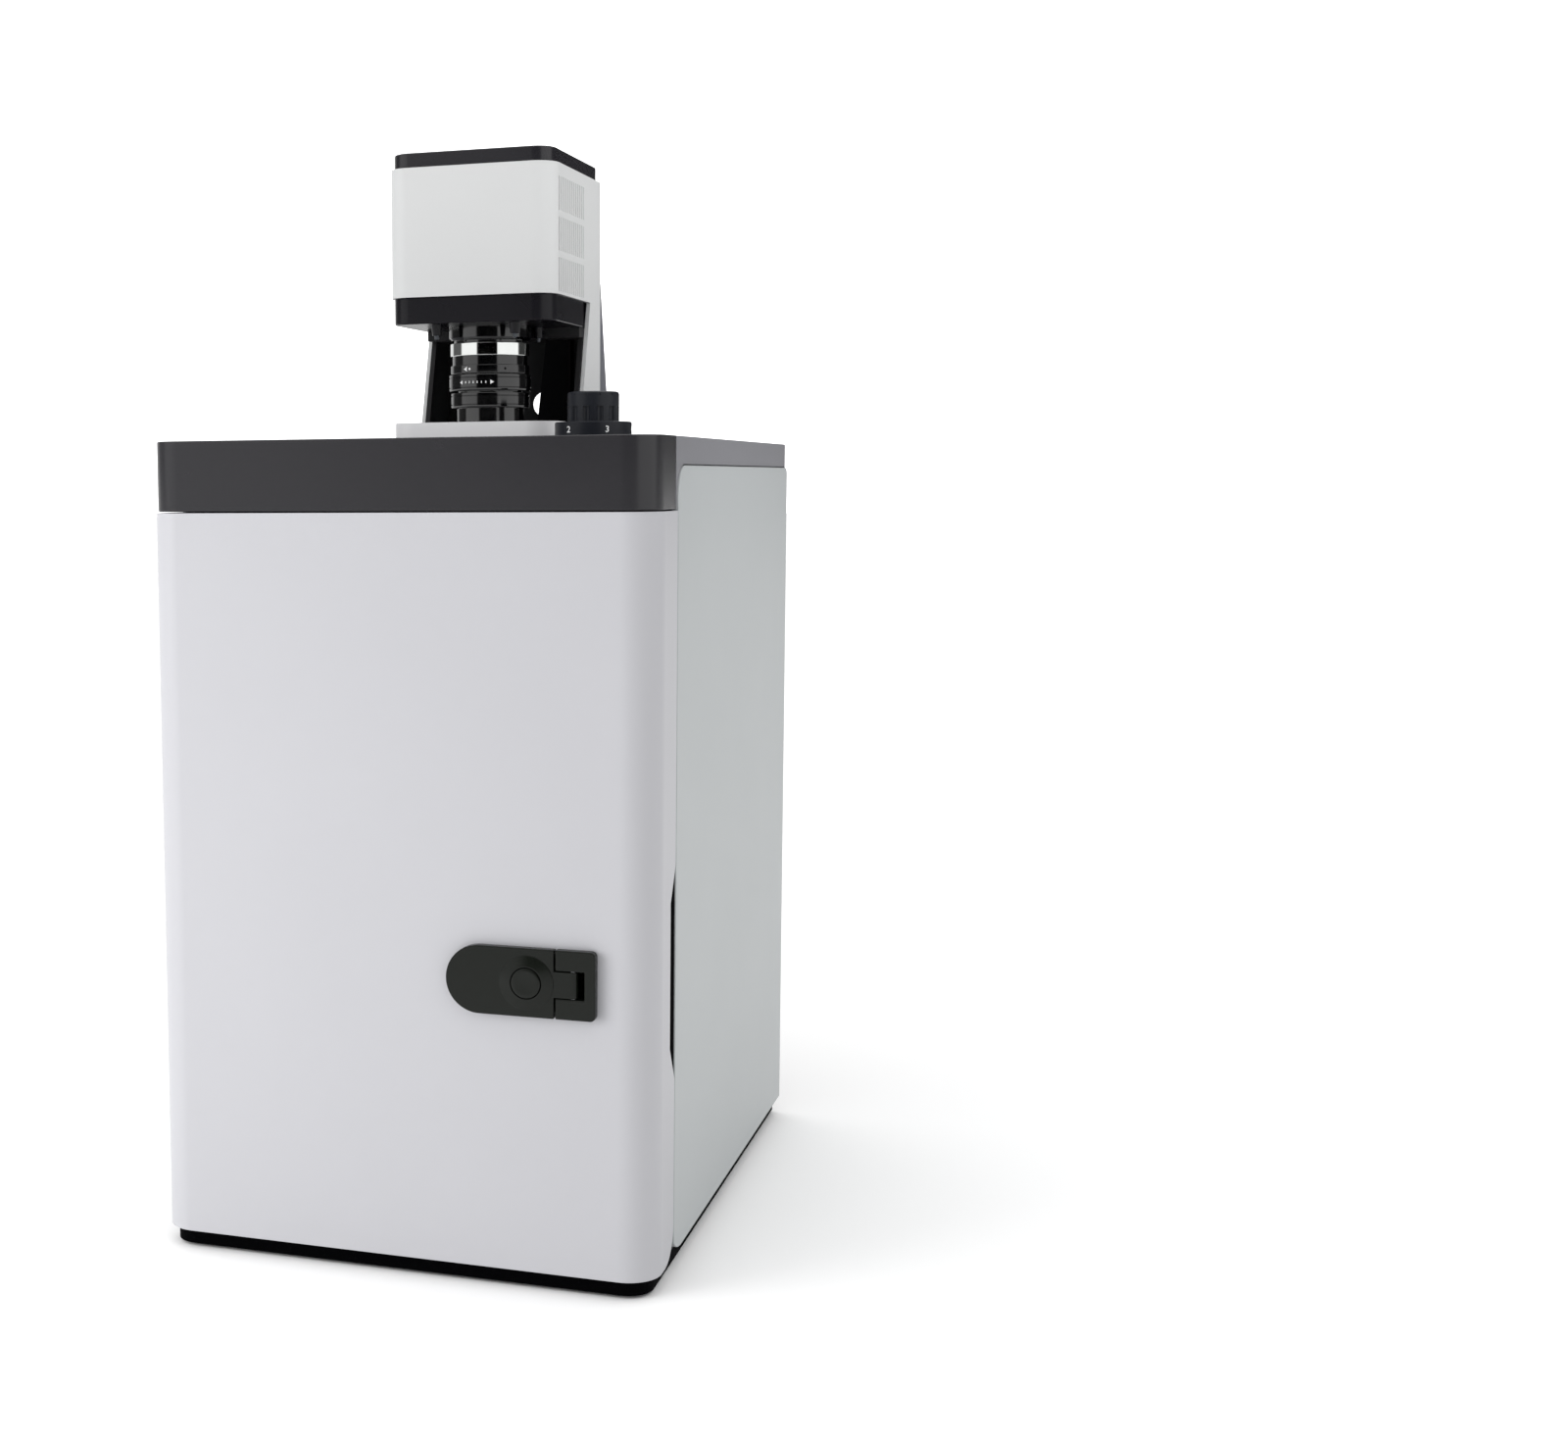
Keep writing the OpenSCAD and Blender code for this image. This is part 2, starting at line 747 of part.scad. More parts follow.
// Board with its processor, a connector and a row of capacitors
module control_board() {
    stand = 8;
    board_t = 1.6;
    chip = [26, 4, 26];
    socket = [34, 8, 12];
    cap = [5, 12];
    margin = 15;
    color("#1f5b3a") translate([bay_split, bay_y + stand, bay_z]) {
        cube([board_w, board_t, board_h]);
        translate([margin, board_t, 30]) cube(chip);
        translate([board_w - margin - socket[0], board_t, 20]) cube(socket);
        for (x = [margin : 22 : board_w - margin])
            translate([x, board_t, board_h - 40]) rotate([-90, 0, 0])
                cylinder(r = cap[0], h = cap[1]);
    }
}

// Appliance inlet: a flanged housing with three flat pins in its well
module power_inlet() {
    w = inlet_w;
    h = inlet_h;
    flange = [w + 8, h + 6];
    well = inlet_d - 5;
    color("#121214") translate([inlet_x, rear_y, port_z]) {
        difference() {
            union() {
                along_y(-inlet_d, rear_t) square([w, h], center = true);
                along_y(rear_t, panel_t - 0.2) plate(flange[0], flange[1], 2);
            }
            along_y(-well, panel_t + 1) difference() {
                square([w - 3, h - 3], center = true);
                for (side = [-1, 1]) translate([side * w / 2, h / 2]) rotate(45)
                    square(8, center = true);
            }
        }
        for (pin = [[-7, -2], [7, -2], [0, 2]])
            along_y(-well - 1, 1) translate(pin) square([2, 4], center = true);
    }
}

// Rocker, tilted to its off position on a pivot along X
module power_switch() {
    w = switch_w - 1;
    color("#101012") translate([switch_x, rear_y - 1, port_z]) rotate([-7, 0, 0])
        along_x(-w / 2, w / 2) difference() {
            circle(5.6);
            translate([3.4, -7]) square([8, 14]);
            translate([9.6, 0]) circle(7);
        }
}

module usb_port() {
    depth = 14;
    shell_t = 0.8;
    color("#c9cbcd") translate([usb_x, rear_y, port_z]) {
        along_y(-depth, rear_t + 0.8) difference() {
            square([usb_w, usb_h], center = true);
            square([usb_w - 2 * shell_t, usb_h - 2 * shell_t], center = true);
        }
        along_y(-depth, 0) square([usb_w / 2, usb_h * 0.3], center = true);
        along_y(-depth, 1 - depth) square([usb_w, usb_h], center = true);
    }
}

// ---- door ----

// Plan of the door, drawn in by its wall for the hollow. On the hinge side the rear
// edge is turned about the pivot, so it passes the panel as the door opens.
module door_plan(wall, back) {
    difference() {
        footprint(half_w - wall, front_y + wall, back, corner_r - wall, 0);
        if (wall == 0) difference() {
            translate([-half_w - 1, pivot_y]) square([pivot_inset + 1, door_wrap]);
            translate([pivot_x, pivot_y]) circle(pivot_reach - clear);
        }
    }
}

// Side view of the door, with the round lower rear edge
module door_side(wall) {
    depth = door_wrap - 2 * wall;
    height = door_z1 - door_z0 - 2 * wall;
    translate([front_y + wall, door_z0 + wall])
        rounded([depth, height], [0, door_heel_r - wall, 0, 0]);
    if (wall > 0)
        translate([front_y + wall, door_z0 + door_heel_r])
            square([door_wrap, door_z1 - wall - door_z0 - door_heel_r]);
}

module pull_notch() {
    z0 = pull_z - pull_h / 2;
    z1 = pull_z + pull_h / 2;
    polygon([[seam_y + 1, z0 - pull_taper], [seam_y - pull_d, z0], [seam_y - pull_d, z1],
        [seam_y + 1, z1 + pull_taper]]);
}

module pan_outline(grow) {
    translate([(pan_x0 + pan_x1) / 2, latch_z])
        plate(pan_x1 - pan_x0 + 2 * grow, pan_h + 2 * grow, 3 + grow);
}

module door_shell() {
    wide = half_w + 1;
    color("#cbccd0") difference() {
        intersection() {
            along_z(door_z0, door_z1) door_plan(0, seam_y);
            along_x(-wide, wide) door_side(0);
        }
        intersection() {
            along_z(door_z0, door_z1) door_plan(door_wall, seam_y + door_wrap);
            along_x(-wide, wide) door_side(door_wall);
        }
        along_y(front_y - 1, front_y + door_wall + 1) pan_outline(0);
        along_x(door_in - 1, wide) pull_notch();
        translate([pivot_x, pivot_y, door_z0 - 1]) cylinder(r = pivot_pin_r + 2.5, h = door_heel_r);
        translate([pivot_x, pivot_y, door_z1 - door_wall - 1])
            cylinder(r = pivot_pin_r + 0.5, h = door_wall + 2);
    }
}

module door_inner_panel() {
    x0 = pivot_x + 4;
    x1 = door_in - 1;
    z0 = door_z0 + door_heel_r + 1.5;
    z1 = door_z1 - door_wall - 1;
    post_r = 4;
    color("#0d0d0f") union() {
        along_y(liner_y0, liner_y1) translate([x0, z0]) rounded([x1 - x0, z1 - z0], [5, 5, 5, 5]);
        along_y(liner_y1 - 0.5, liner_y1 + pad_t) mouth(-5, 5);
        for (x = [x0 + 14, 10, x1 - 30], z = [z0 + 18, z1 - 18])
            along_y(front_y + door_wall, liner_y0 + 0.5) translate([x, z]) circle(post_r);
    }
}

module pivot_blocks() {
    x0 = -door_in;
    y1 = liner_y0 - 0.5;
    color("#55585c") for (z = [block_z0, block_z1]) difference() {
        translate([x0, pivot_y - 7, z]) cube([pivot_x + 6 - x0, y1 - pivot_y + 7, pivot_block_h]);
        translate([pivot_x, pivot_y, z - 1]) cylinder(r = pivot_pin_r + run, h = pivot_block_h + 2);
    }
}

// The lower pin stands on a collar that carries the door's weight
module pivot_pins() {
    color("#a9abae") translate([pivot_x, pivot_y, 0]) {
        translate([0, 0, plinth_top])
            cylinder(r = pivot_pin_r, h = block_z0 + pivot_sink - plinth_top);
        translate([0, 0, plinth_top])
            cylinder(r = pivot_pin_r + 2, h = block_z0 - run - plinth_top);
        translate([0, 0, block_z1 + pivot_block_h - pivot_sink])
            cylinder(r = pivot_pin_r, h = lid_z0 - block_z1 - pivot_block_h + pivot_sink);
    }
}

module catch_plates() {
    color("#b4b6b9") for (z = catch_zs)
        along_y(liner_y1, liner_y1 + catch_t) translate([catch_x, z]) plate(8, 22, 1.5);
}

// Cup behind the finger pull, open to the side
module finger_cup() {
    wall = 1;
    y1 = liner_y0;
    y0 = seam_y - pull_d - 4;
    h = pull_h + 2 * pull_taper + 6;
    color("#1d1d24") translate([door_in - cup_d, y0, pull_z - h / 2]) difference() {
        cube([cup_d, y1 - y0, h]);
        translate([wall, wall, wall]) cube([cup_d, y1 - y0 - 2 * wall, h - 2 * wall]);
    }
}

// ---- latch ----

module latch_outline(x0, x1, left_r, right_r) {
    translate([x0, latch_z - latch_w / 2])
        rounded([x1 - x0, latch_w], [left_r, right_r, right_r, left_r]);
}

module along_pin(z0, z1, r) {
    translate([pin_x, pin_y, latch_z + z0]) cylinder(r = r, h = z1 - z0);
}

module latch_base() {
    slot_half = tongue_w / 2 + 0.5;
    bar = 6.2;
    pin_half = latch_w / 2 - 3;
    color("#272926") difference() {
        union() {
            along_y(latch_face, front_y) difference() {
                latch_outline(latch_x - lug_len, latch_x, 0, 3);
                translate([latch_x - lug_len - 1, latch_z - slot_half])
                    square([lug_len + 1 - bar, 2 * slot_half]);
            }
            along_y(front_y, front_y + pan_d) pan_outline(0);
        }
        along_y(front_y - 0.01, front_y + pan_d - pan_wall) difference() {
            pan_outline(-pan_wall);
            for (side = [-1, 1])
                translate([latch_x - lug_len, latch_z + side * (slot_half + pan_h / 4 + 1) - pan_h / 4])
                    square([lug_len, pan_h / 2]);
        }
        along_pin(-pin_half, pin_half, latch_pin_r);
    }
}

module latch_pin() {
    pin_half = latch_w / 2 - 3;
    color("#b9bbbe") along_pin(-pin_half, pin_half, latch_pin_r);
}

// Lever with a half-round end. Its tongue ends in the knuckle that the pin carries.
module latch_handle() {
    x0 = latch_x - latch_len;
    x1 = latch_x - lug_len - handle_gap;
    boss_top = latch_face - boss_rise;
    hub_t = 1.5;
    step = 0.1;
    color("#2b2f2a") difference() {
        union() {
            along_y(latch_face, latch_back) latch_outline(x0, x1, latch_w / 2 - 0.01, 0);
            along_z(latch_z - tongue_w / 2, latch_z + tongue_w / 2) {
                translate([x1 - 1, latch_face + step])
                    square([pin_x - x1 + 1, latch_back - latch_face - 2 * step]);
                translate([pin_x, pin_y]) circle(knuckle_r - step);
            }
            // raised boss round the button, and the hub that holds the button's spring
            translate([boss_x, latch_face, latch_z]) rotate([90, 0, 0])
                cylinder(r1 = boss_r, r2 = boss_r - 4, h = boss_rise);
            translate([boss_x, hub_floor + hub_t, latch_z]) rotate([90, 0, 0])
                cylinder(r = hub_r, h = hub_floor + hub_t - latch_back + 1);
        }
        translate([boss_x, hub_floor, latch_z]) rotate([90, 0, 0])
            cylinder(r = button_r + 0.15, h = hub_floor - boss_top + 1);
        along_pin(-tongue_w / 2 - 1, tongue_w / 2 + 1, latch_pin_r + run);
    }
}

module latch_button() {
    front = front_y - button_proud;
    color("#2e312d") translate([boss_x, button_back, latch_z]) rotate([90, 0, 0]) difference() {
        rotate_extrude() polygon([[0, 0], [button_r, 0], [button_r, button_back - front - 0.8],
            [button_r - 0.8, button_back - front], [0, button_back - front]]);
        translate([0, 0, -1]) cylinder(r = button_r - 2, h = 4);
    }
}

module latch_spring() {
    coil_r = 5;
    wire_r = 0.6;
    turns = 4;
    length = hub_floor - button_back + 3;
    color("#c4c6c8") translate([boss_x, hub_floor, latch_z]) rotate([90, 0, 0])
        linear_extrude(height = length, twist = -360 * turns, slices = 16 * turns, $fn = 8)
            translate([coil_r, 0]) scale([1, 3]) circle(wire_r);
}

// ---- filter drive ----

module at_wheel(z) {
    translate([wheel_x, wheel_y, z]) children();
}

module at_knob(z) {
    translate([knob_x, knob_y, z]) children();
}

module filter_places() {
    for (i = [0 : 5]) rotate(i * 60 + wheel_angle + 180) translate([filter_orbit, 0, 0]) children();
}

module wheel_spindle() {
    foot = 9;
    color("#b0b2b5") at_wheel(lid_z0) union() {
        cylinder(r = foot, h = 2);
        cylinder(r = foot - 3, h = wheel_z - lid_z0 - 1);
        cylinder(r = shaft_r, h = spindle_top - lid_z0);
    }
}

// Disc with six seats, a hub, and a notch in its rim for each stop
module filter_wheel() {
    hub = 12;
    color("#26262a") at_wheel(wheel_z) difference() {
        union() {
            cylinder(r = wheel_r, h = wheel_t);
            cylinder(r = hub, h = pulley_z - wheel_z);
        }
        translate([0, 0, -1]) cylinder(r = shaft_r + run, h = pulley_z - wheel_z + 2);
        filter_places() {
            translate([0, 0, -1]) cylinder(r = filter_r - 2, h = wheel_t + 2);
            translate([0, 0, wheel_t - filter_t]) cylinder(r = filter_r, h = wheel_t);
        }
        for (i = [0 : 5]) rotate(i * 60 + 30) translate([wheel_r, 0, -1])
            cylinder(r = 2.5, h = wheel_t + 2);
    }
}

module filters() {
    color("#8a4a2c") at_wheel(wheel_z + wheel_t - filter_t) filter_places()
        cylinder(r = filter_r, h = filter_t);
}

// Pulley with a rim above and below the belt's track
module pulley(bore) {
    difference() {
        union() {
            cylinder(r = pulley_r, h = pulley_h);
            for (z = [0, pulley_h - pulley_rim]) translate([0, 0, z])
                cylinder(r = pulley_r + 2, h = pulley_rim);
        }
        translate([0, 0, -1]) cylinder(r = bore, h = pulley_h + 2);
        for (i = [0 : 4]) rotate(i * 72) translate([pulley_r * 0.62, 0, -1])
            cylinder(r = 4, h = pulley_h + 2);
    }
}

module wheel_pulley() {
    color("#d9dadb") at_wheel(pulley_z) pulley(shaft_r + run);
}

module knob_shaft() {
    color("#b0b2b5") at_knob(pulley_z - 2) union() {
        cylinder(r = shaft_r, h = cab_h + dial_h - pulley_z);
        translate([0, 0, 2]) pulley(shaft_r - 0.5);
    }
}

module belt_outline(r) {
    circle(r);
    translate([0, -r]) square([belt_run, 2 * r]);
    translate([belt_run, 0]) circle(r);
}

module drive_belt() {
    track = pulley_r + clear;
    side = pulley_rim + clear;
    color("#16161a") translate([knob_x, knob_y, 0]) rotate(belt_angle)
        along_z(pulley_z + side, pulley_z + pulley_h - side) difference() {
            belt_outline(track + belt_t);
            belt_outline(track);
        }
}

module knob_bush() {
    color("#b08d57") at_knob(cab_h - lid_wall - 2) difference() {
        union() {
            cylinder(r = shaft_r + 3, h = lid_wall + 2);
            cylinder(r = shaft_r + 5, h = 2);
        }
        translate([0, 0, -1]) cylinder(r = shaft_r + run, h = lid_wall + 4);
    }
}

module filter_knob() {
    bevel = 1.2;
    lift = 0.6;
    flute = [4, 1.3, grip_h * 0.45];
    color("#22252d") at_knob(cab_h) difference() {
        rotate_extrude() polygon([[0, lift], [dial_r, lift], [dial_r, dial_h - 0.8],
            [dial_r - 0.8, dial_h], [grip_r, dial_h], [grip_r, dial_h + grip_h - bevel],
            [grip_r - bevel, dial_h + grip_h], [0, dial_h + grip_h]]);
        translate([0, 0, -1]) cylinder(r = shaft_r, h = dial_h - 1);
        for (i = [0 : flutes - 1]) rotate(i * 360 / flutes)
            translate([grip_r - flute[1], -flute[0] / 2, dial_h]) cube([4, flute[0], flute[2]]);
    }
}

// ---- column ----

module foot_plate() {
    y1 = head_y1 + cover_foot + 2;
    color("#c3c3c5") difference() {
        along_z(cab_h, base_top) footprint(head_half - 0.5, head_y0, y1, head_r, rear_r);
        at_lens(cab_h - 1) cylinder(r = nose_r + 2, h = foot_plate_t + 2);
        translate([0, lead_y, cab_h - 1]) cylinder(r = lead_r, h = foot_plate_t + 2);
    }
}

module lens_seal() {
    color("#0e0e10") at_lens(cab_h) ring(nose_r + 2, nose_r + clear, foot_plate_t - 1.5);
}

// Side view of a leg and of the head's cheek above it
module cheek(y0) {
    foot = head_y1 - leg_foot;
    top = head_y1 - leg_top;
    polygon([[y0, housing_z], [top, housing_z], [foot, base_top], [head_y1 + 1, base_top],
        [head_y1 + 1, cap_z + 1], [y0, cap_z + 1]]);
}

module head_plan(inset) {
    footprint(head_half - inset, head_y0 + inset, head_y1 - inset, head_r - inset,
        max(rear_r - inset, 0));
}

module head_housing() {
    vent_y = head_y0 + 13;
    color("#d9dada") difference() {
        intersection() {
            along_z(base_top, cap_z) head_plan(0);
            along_x(-head_half - 1, head_half + 1) cheek(head_y0 - 1);
        }
        along_z(base_top - 1, cap_z - housing_wall) head_plan(housing_wall);
        // the rear cover takes the place of the back wall up to here
        translate([housing_wall - head_half, head_y1 - 2 * housing_wall, base_top - 1])
            cube([head_w - 2 * housing_wall, 3 * housing_wall, cover_h + 1]);
        // soft upper edge at the back
        along_x(-head_half - 1, head_half + 1)
            translate([head_y1, cap_z]) rotate(180) corner_off(head_rim);
        // warm air leaves under the cap
        translate([0, head_y0 + 62, cap_z - housing_wall - 1])
            cylinder(r = fan_half - 6, h = housing_wall + 2);
        for (level = [0 : 2], i = [0 : slots - 1])
            translate([-head_half - 1, vent_y + i * slot_pitch, housing_z + 1.7 + level * vent_step])
                cube([head_w + 2, slot_w, vent_h]);
    }
}

module head_cap() {
    y1 = head_y1 - head_rim - 0.5;
    wall = 2;
    half = head_half - cap_in;
    y0 = head_y0 + cap_in;
    r = head_r - cap_in;
    color("#313035") difference() {
        along_z(cap_z, cap_z + cap_h) footprint(half, y0, y1, r, 3);
        along_z(cap_z - 1, cap_z + cap_h - wall)
            footprint(half - wall, y0 + wall, y1 - wall, r - wall, 1);
    }
}

module screw_places() {
    for (side = [-1, 1], y = [head_y0 + 14, skirt_y1 - 11])
        translate([side * 25, y, 0]) children();
}

module head_skirt() {
    wall = 2.5;
    half = head_half - skirt_in;
    y0 = head_y0 + skirt_in;
    color("#211e24") difference() {
        along_z(skirt_z, housing_z) footprint(half, y0, skirt_y1, head_r - skirt_in, 1);
        along_z(skirt_z + 3, housing_z + 1)
            footprint(half - wall, y0 + wall, skirt_y1 - wall, head_r - skirt_in - wall, 0);
        at_lens(skirt_z - 1) cylinder(r = bore_r + 2, h = 5);
    }
}

// Black structural column: a back wall, two cheeks inside the legs and the ledge under
// the head
module column_core() {
    ledge_t = 6;
    ledge_y0 = skirt_y1 - 6;
    foot_y = head_y1 - leg_foot - 1.5;
    color("#0c0c0e") difference() {
        union() {
            intersection() {
                translate([-core_half, head_y0, base_top])
                    cube([2 * core_half, core_back_y + core_t - head_y0, throat_h]);
                along_x(-head_w, head_w) polygon([[foot_y, base_top], [head_y1, base_top],
                    [head_y1, skirt_z], [foot_y + leg_slope * throat_h, skirt_z]]);
            }
            translate([-core_half, ledge_y0, skirt_z - ledge_t])
                cube([2 * core_half, core_back_y + core_t - ledge_y0, ledge_t]);
            translate([-30, core_back_y, skirt_z - 1]) cube([60, core_t, skirt_h + 42]);
        }
        translate([core_t - core_half, head_y0 - 1, base_top - 1])
            cube([2 * core_half - 2 * core_t, core_back_y - head_y0 + 1, throat_h + 1 - ledge_t]);
        translate([window_x, core_back_y - 1, window_z]) rotate([-90, 0, 0])
            cylinder(r = window_r, h = core_t + 2);
    }
}

// Flat duct for the camera's leads, its near edge leaning away from the window
module cable_duct() {
    x0 = window_x - 2;
    color("#0b0b0d") along_y(core_back_y - 9, core_back_y)
        polygon([[x0, base_top], [x0 + 22, base_top], [x0 + 22, skirt_z - 6], [x0 + 6, skirt_z - 6]]);
}

module column_cover() {
    wall = 2;
    half = head_half - 1;
    color("#6c6d73") difference() {
        along_x(-half, half) polygon([[head_y1, base_top], [head_y1 + cover_foot, base_top],
            [head_y1 + 0.8, base_top + cover_h], [head_y1, base_top + cover_h]]);
        along_x(wall - half, half - wall) polygon([[head_y1 - 1, base_top - 1],
            [head_y1 + cover_foot - wall, base_top - 1], [head_y1 - 1, base_top + cover_h - 3 * wall]]);
        translate([window_x - window_shift, head_y1 - 1, window_z]) rotate([-90, 0, 0])
            cylinder(r = window_r + 1, h = cover_foot + 2);
    }
}

// ---- camera head ----

module camera_body() {
    color("#3a3b40") difference() {
        union() {
            translate([-camera_half, lens_y - camera_half, camera_z])
                cube([2 * camera_half, 2 * camera_half, camera_h]);
            at_lens(skirt_z + 3) cylinder(r = bore_r + 6, h = camera_z - skirt_z - 2);
        }
        at_lens(skirt_z) cylinder(r = bore_r, h = camera_z - skirt_z + 12);
    }
}

module heat_sink() {
    fins = 12;
    base_t = 3;
    width = 2 * camera_half - 6;
    gap = (width - fin_t) / (fins - 1);
    color("#b7babd") at_lens(sink_z) translate([-width / 2, -width / 2, 0]) union() {
        cube([width, width, base_t]);
        for (i = [0 : fins - 1]) translate([i * gap, 0, 0]) cube([fin_t, width, sink_h]);
    }
}

module fan_frame() {
    color("#1a1a1d") at_lens(fan_z) difference() {
        along_z(0, fan_h) plate(2 * fan_half, 2 * fan_half, 3);
        translate([0, 0, 1.5]) cylinder(r = fan_half - 1.5, h = fan_h);
        translate([0, 0, -1]) difference() {
            cylinder(r = fan_half - 1.5, h = 4);
            cylinder(r = 12, h = 4);
            for (a = [0 : 3]) rotate(a * 90 + 45) translate([-2, 0, 0]) cube([4, fan_half, 4]);
        }
    }
}

module fan_rotor() {
    blades = 7;
    color("#232327") at_lens(fan_z + 2) intersection() {
        union() {
            cylinder(r = 11.5, h = fan_h - 3);
            for (i = [0 : blades - 1]) rotate(i * 360 / blades) translate([8, 0, (fan_h - 3) / 2])
                rotate([38, 0, 0]) cube([38, 1.4, 40], center = true);
        }
        cylinder(r = fan_half - 3, h = fan_h - 3);
    }
}

// Captive screws that hang under the skirt, with a taper grip and a bright tip
module thumb_screws() {
    drop = 9;
    color("#1a1a1d") screw_places() translate([0, 0, skirt_z - drop]) rotate_extrude()
        polygon([[0, 0], [1.4, 0], [1.8, 2], [2.8, 2.5], [3.6, drop], [0, drop]]);
}

// ---- lens ----

// Flange under the skirt, with the dark spacer below it
module lens_adapter() {
    bevel = 1.5;
    color("#2b2b2f") at_lens(skirt_z - silver_top) difference() {
        union() {
            translate([0, 0, silver_top - adapter_h]) rotate_extrude()
                polygon([[0, 0], [focus_r - bevel, 0], [focus_r, bevel], [focus_r, adapter_h],
                    [0, adapter_h]]);
            cylinder(r = silver_r - 2.2, h = adapter_h);
        }
        translate([0, 0, -1]) cylinder(r = bore_r, h = silver_top + 2);
    }
}

module silver_ring() {
    color("#d8dbd8") at_lens(skirt_z - silver_bottom)
        ring(silver_r, barrel_r, silver_bottom - silver_top);
}

module lens_barrel() {
    neck_r = silver_r - 1.2;
    color("#19191c") difference() {
        union() {
            at_lens(skirt_z - silver_top) mirror([0, 0, 1])
                cylinder(r = barrel_r, h = nose_top - silver_top + 1);
            at_lens(skirt_z - lock_top) cylinder(r = neck_r, h = lock_top - silver_bottom);
            at_lens(lens_floor) cylinder(r = nose_r, h = skirt_z - nose_top - lens_floor);
        }
        at_lens(lens_floor - 1) cylinder(r = bore_r, h = skirt_z - lens_floor);
    }
}

module lens_lock_ring() {
    color("#26262a") at_lens(skirt_z - lock_bottom) difference() {
        ring(iris_r, barrel_r, lock_bottom - lock_top - 0.1);
        rotate(-50) translate([iris_r - 1.5, 0, 2.7]) rotate([0, 90, 0]) cylinder(r = 0.8, h = 3);
    }
}

// Ring turned by hand, with a band of ribs
module grip_ring(outer, h, ribs) {
    rib = [1.2, 0.5];
    difference() {
        ring(outer, barrel_r + run, h);
        for (i = [0 : ribs - 1]) rotate(i * 360 / ribs)
            translate([outer - rib[1], -rib[0] / 2, h * 0.25]) cube([2, rib[0], h * 0.5]);
    }
}

module focus_ring() {
    color("#232327") at_lens(skirt_z - focus_bottom)
        grip_ring(focus_r, focus_bottom - focus_top, 36);
}

module aperture_ring() {
    color("#232327") at_lens(skirt_z - iris_bottom)
        grip_ring(iris_r, iris_bottom - iris_top, 36);
}

module lens_glass() {
    color("#33405a") for (z = [lens_floor + 4, skirt_z - silver_bottom])
        at_lens(z) cylinder(r = bore_r, h = 4);
}

// ---- all nodes ----

rubber_feet();
base_plinth();
carcass();
side_panel_left();
side_panel_right();
rear_panel();
top_cover();
lid_fascia();
chamber_liner();
door_seal();
door_magnets();
pivot_pins();
shelf_rails();
sample_tray();
light_bars();
light_diffusers();
power_supply();
control_board();
power_inlet();
power_switch();
usb_port();
rear_screws();
door_shell();
door_inner_panel();
pivot_blocks();
catch_plates();
finger_cup();
latch_base();
latch_pin();
latch_handle();
latch_button();
latch_spring();
wheel_spindle();
filter_wheel();
filters();
wheel_pulley();
drive_belt();
knob_bush();
knob_shaft();
filter_knob();
foot_plate();
lens_seal();
column_core();
cable_duct();
column_cover();
head_housing();
head_skirt();
head_cap();
camera_body();
heat_sink();
fan_frame();
fan_rotor();
thumb_screws();
lens_adapter();
silver_ring();
lens_barrel();
lens_lock_ring();
focus_ring();
aperture_ring();
lens_glass();
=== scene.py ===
"""Looks of a bench gel imager: powder-coated cabinet, satin black lid, lever latch, numbered
filter knob and the camera head that stands over the lid. Sizes are in millimetres."""

import json
import math

import bmesh
import bpy
from bpy.props import FloatProperty, FloatVectorProperty, IntProperty, PointerProperty
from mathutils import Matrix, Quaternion, Vector


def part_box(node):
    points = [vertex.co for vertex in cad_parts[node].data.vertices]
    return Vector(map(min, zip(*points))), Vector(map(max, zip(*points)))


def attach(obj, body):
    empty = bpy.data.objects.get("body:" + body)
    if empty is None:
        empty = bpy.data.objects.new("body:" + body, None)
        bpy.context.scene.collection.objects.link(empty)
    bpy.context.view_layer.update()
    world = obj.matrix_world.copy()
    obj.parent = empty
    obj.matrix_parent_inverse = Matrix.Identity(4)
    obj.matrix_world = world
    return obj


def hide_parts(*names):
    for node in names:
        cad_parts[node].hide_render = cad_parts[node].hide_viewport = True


bl_info = {
    "name": "Gel Imager",
    "version": (1, 0, 0),
    "blender": (4, 5, 0),
    "location": "View3D > Sidebar > Gel Imager",
    "description": "Builds the finished pieces of a bench gel imager round its packed frame",
    "category": "Object",
}

MM = 0.001
MERGE_DISTANCE = 1e-6
WAVES = 20  # bands of the wave texture in one unit of its scale
SMOOTH_ANGLE = 34  # degrees; sharper edges stay hard
WHITE = (1, 1, 1, 1)
DIGIT_BODY = 1.4  # size of the type for one millimetre of digit
LENS = "silver_ring"  # stands on the lens's axis
FASCIA_WALL, LEAD_BORE = 2.5, 6
PANEL_SHOULDER, PANEL_HEEL = 18, 5  # radii of a side panel's upper corners
# Camera: place in metres; yaw, pitch and roll in degrees; lens in mm
CAMERA_PLACE, CAMERA_TURNS = (0.41174, -1.28786, 0.44955), (19.747, 6.731, -0.443)
CAMERA_LENS, CAMERA_SHIFT = 48.836, (0.2314, 0.0081)
# Light (and setting of its power), width, height, spread in degrees, place and aim, in metres
LIGHTS = (
    ("key", 0.6, 0.8, 110, (-0.78, -0.9, 0.3), (0, -0.19, 0.2)),
    ("fill", 0.25, 0.25, 36, (0.85, -0.15, 0.75), (0.05, 0.02, 0.62)),
)
# Light round the object: degrees from +X towards +Y, and share of the full strength
SURROUND = (
    (-180, 0.1), (-165, 0.1), (-161, 1.0), (-112, 1.0), (-109, 0.0), (-52, 0.0), (-49, 1.0),
    (17, 1.0), (21, 0.04), (93, 0.04), (102, 0.8), (150, 0.8), (158, 0.1), (180, 0.1),
)

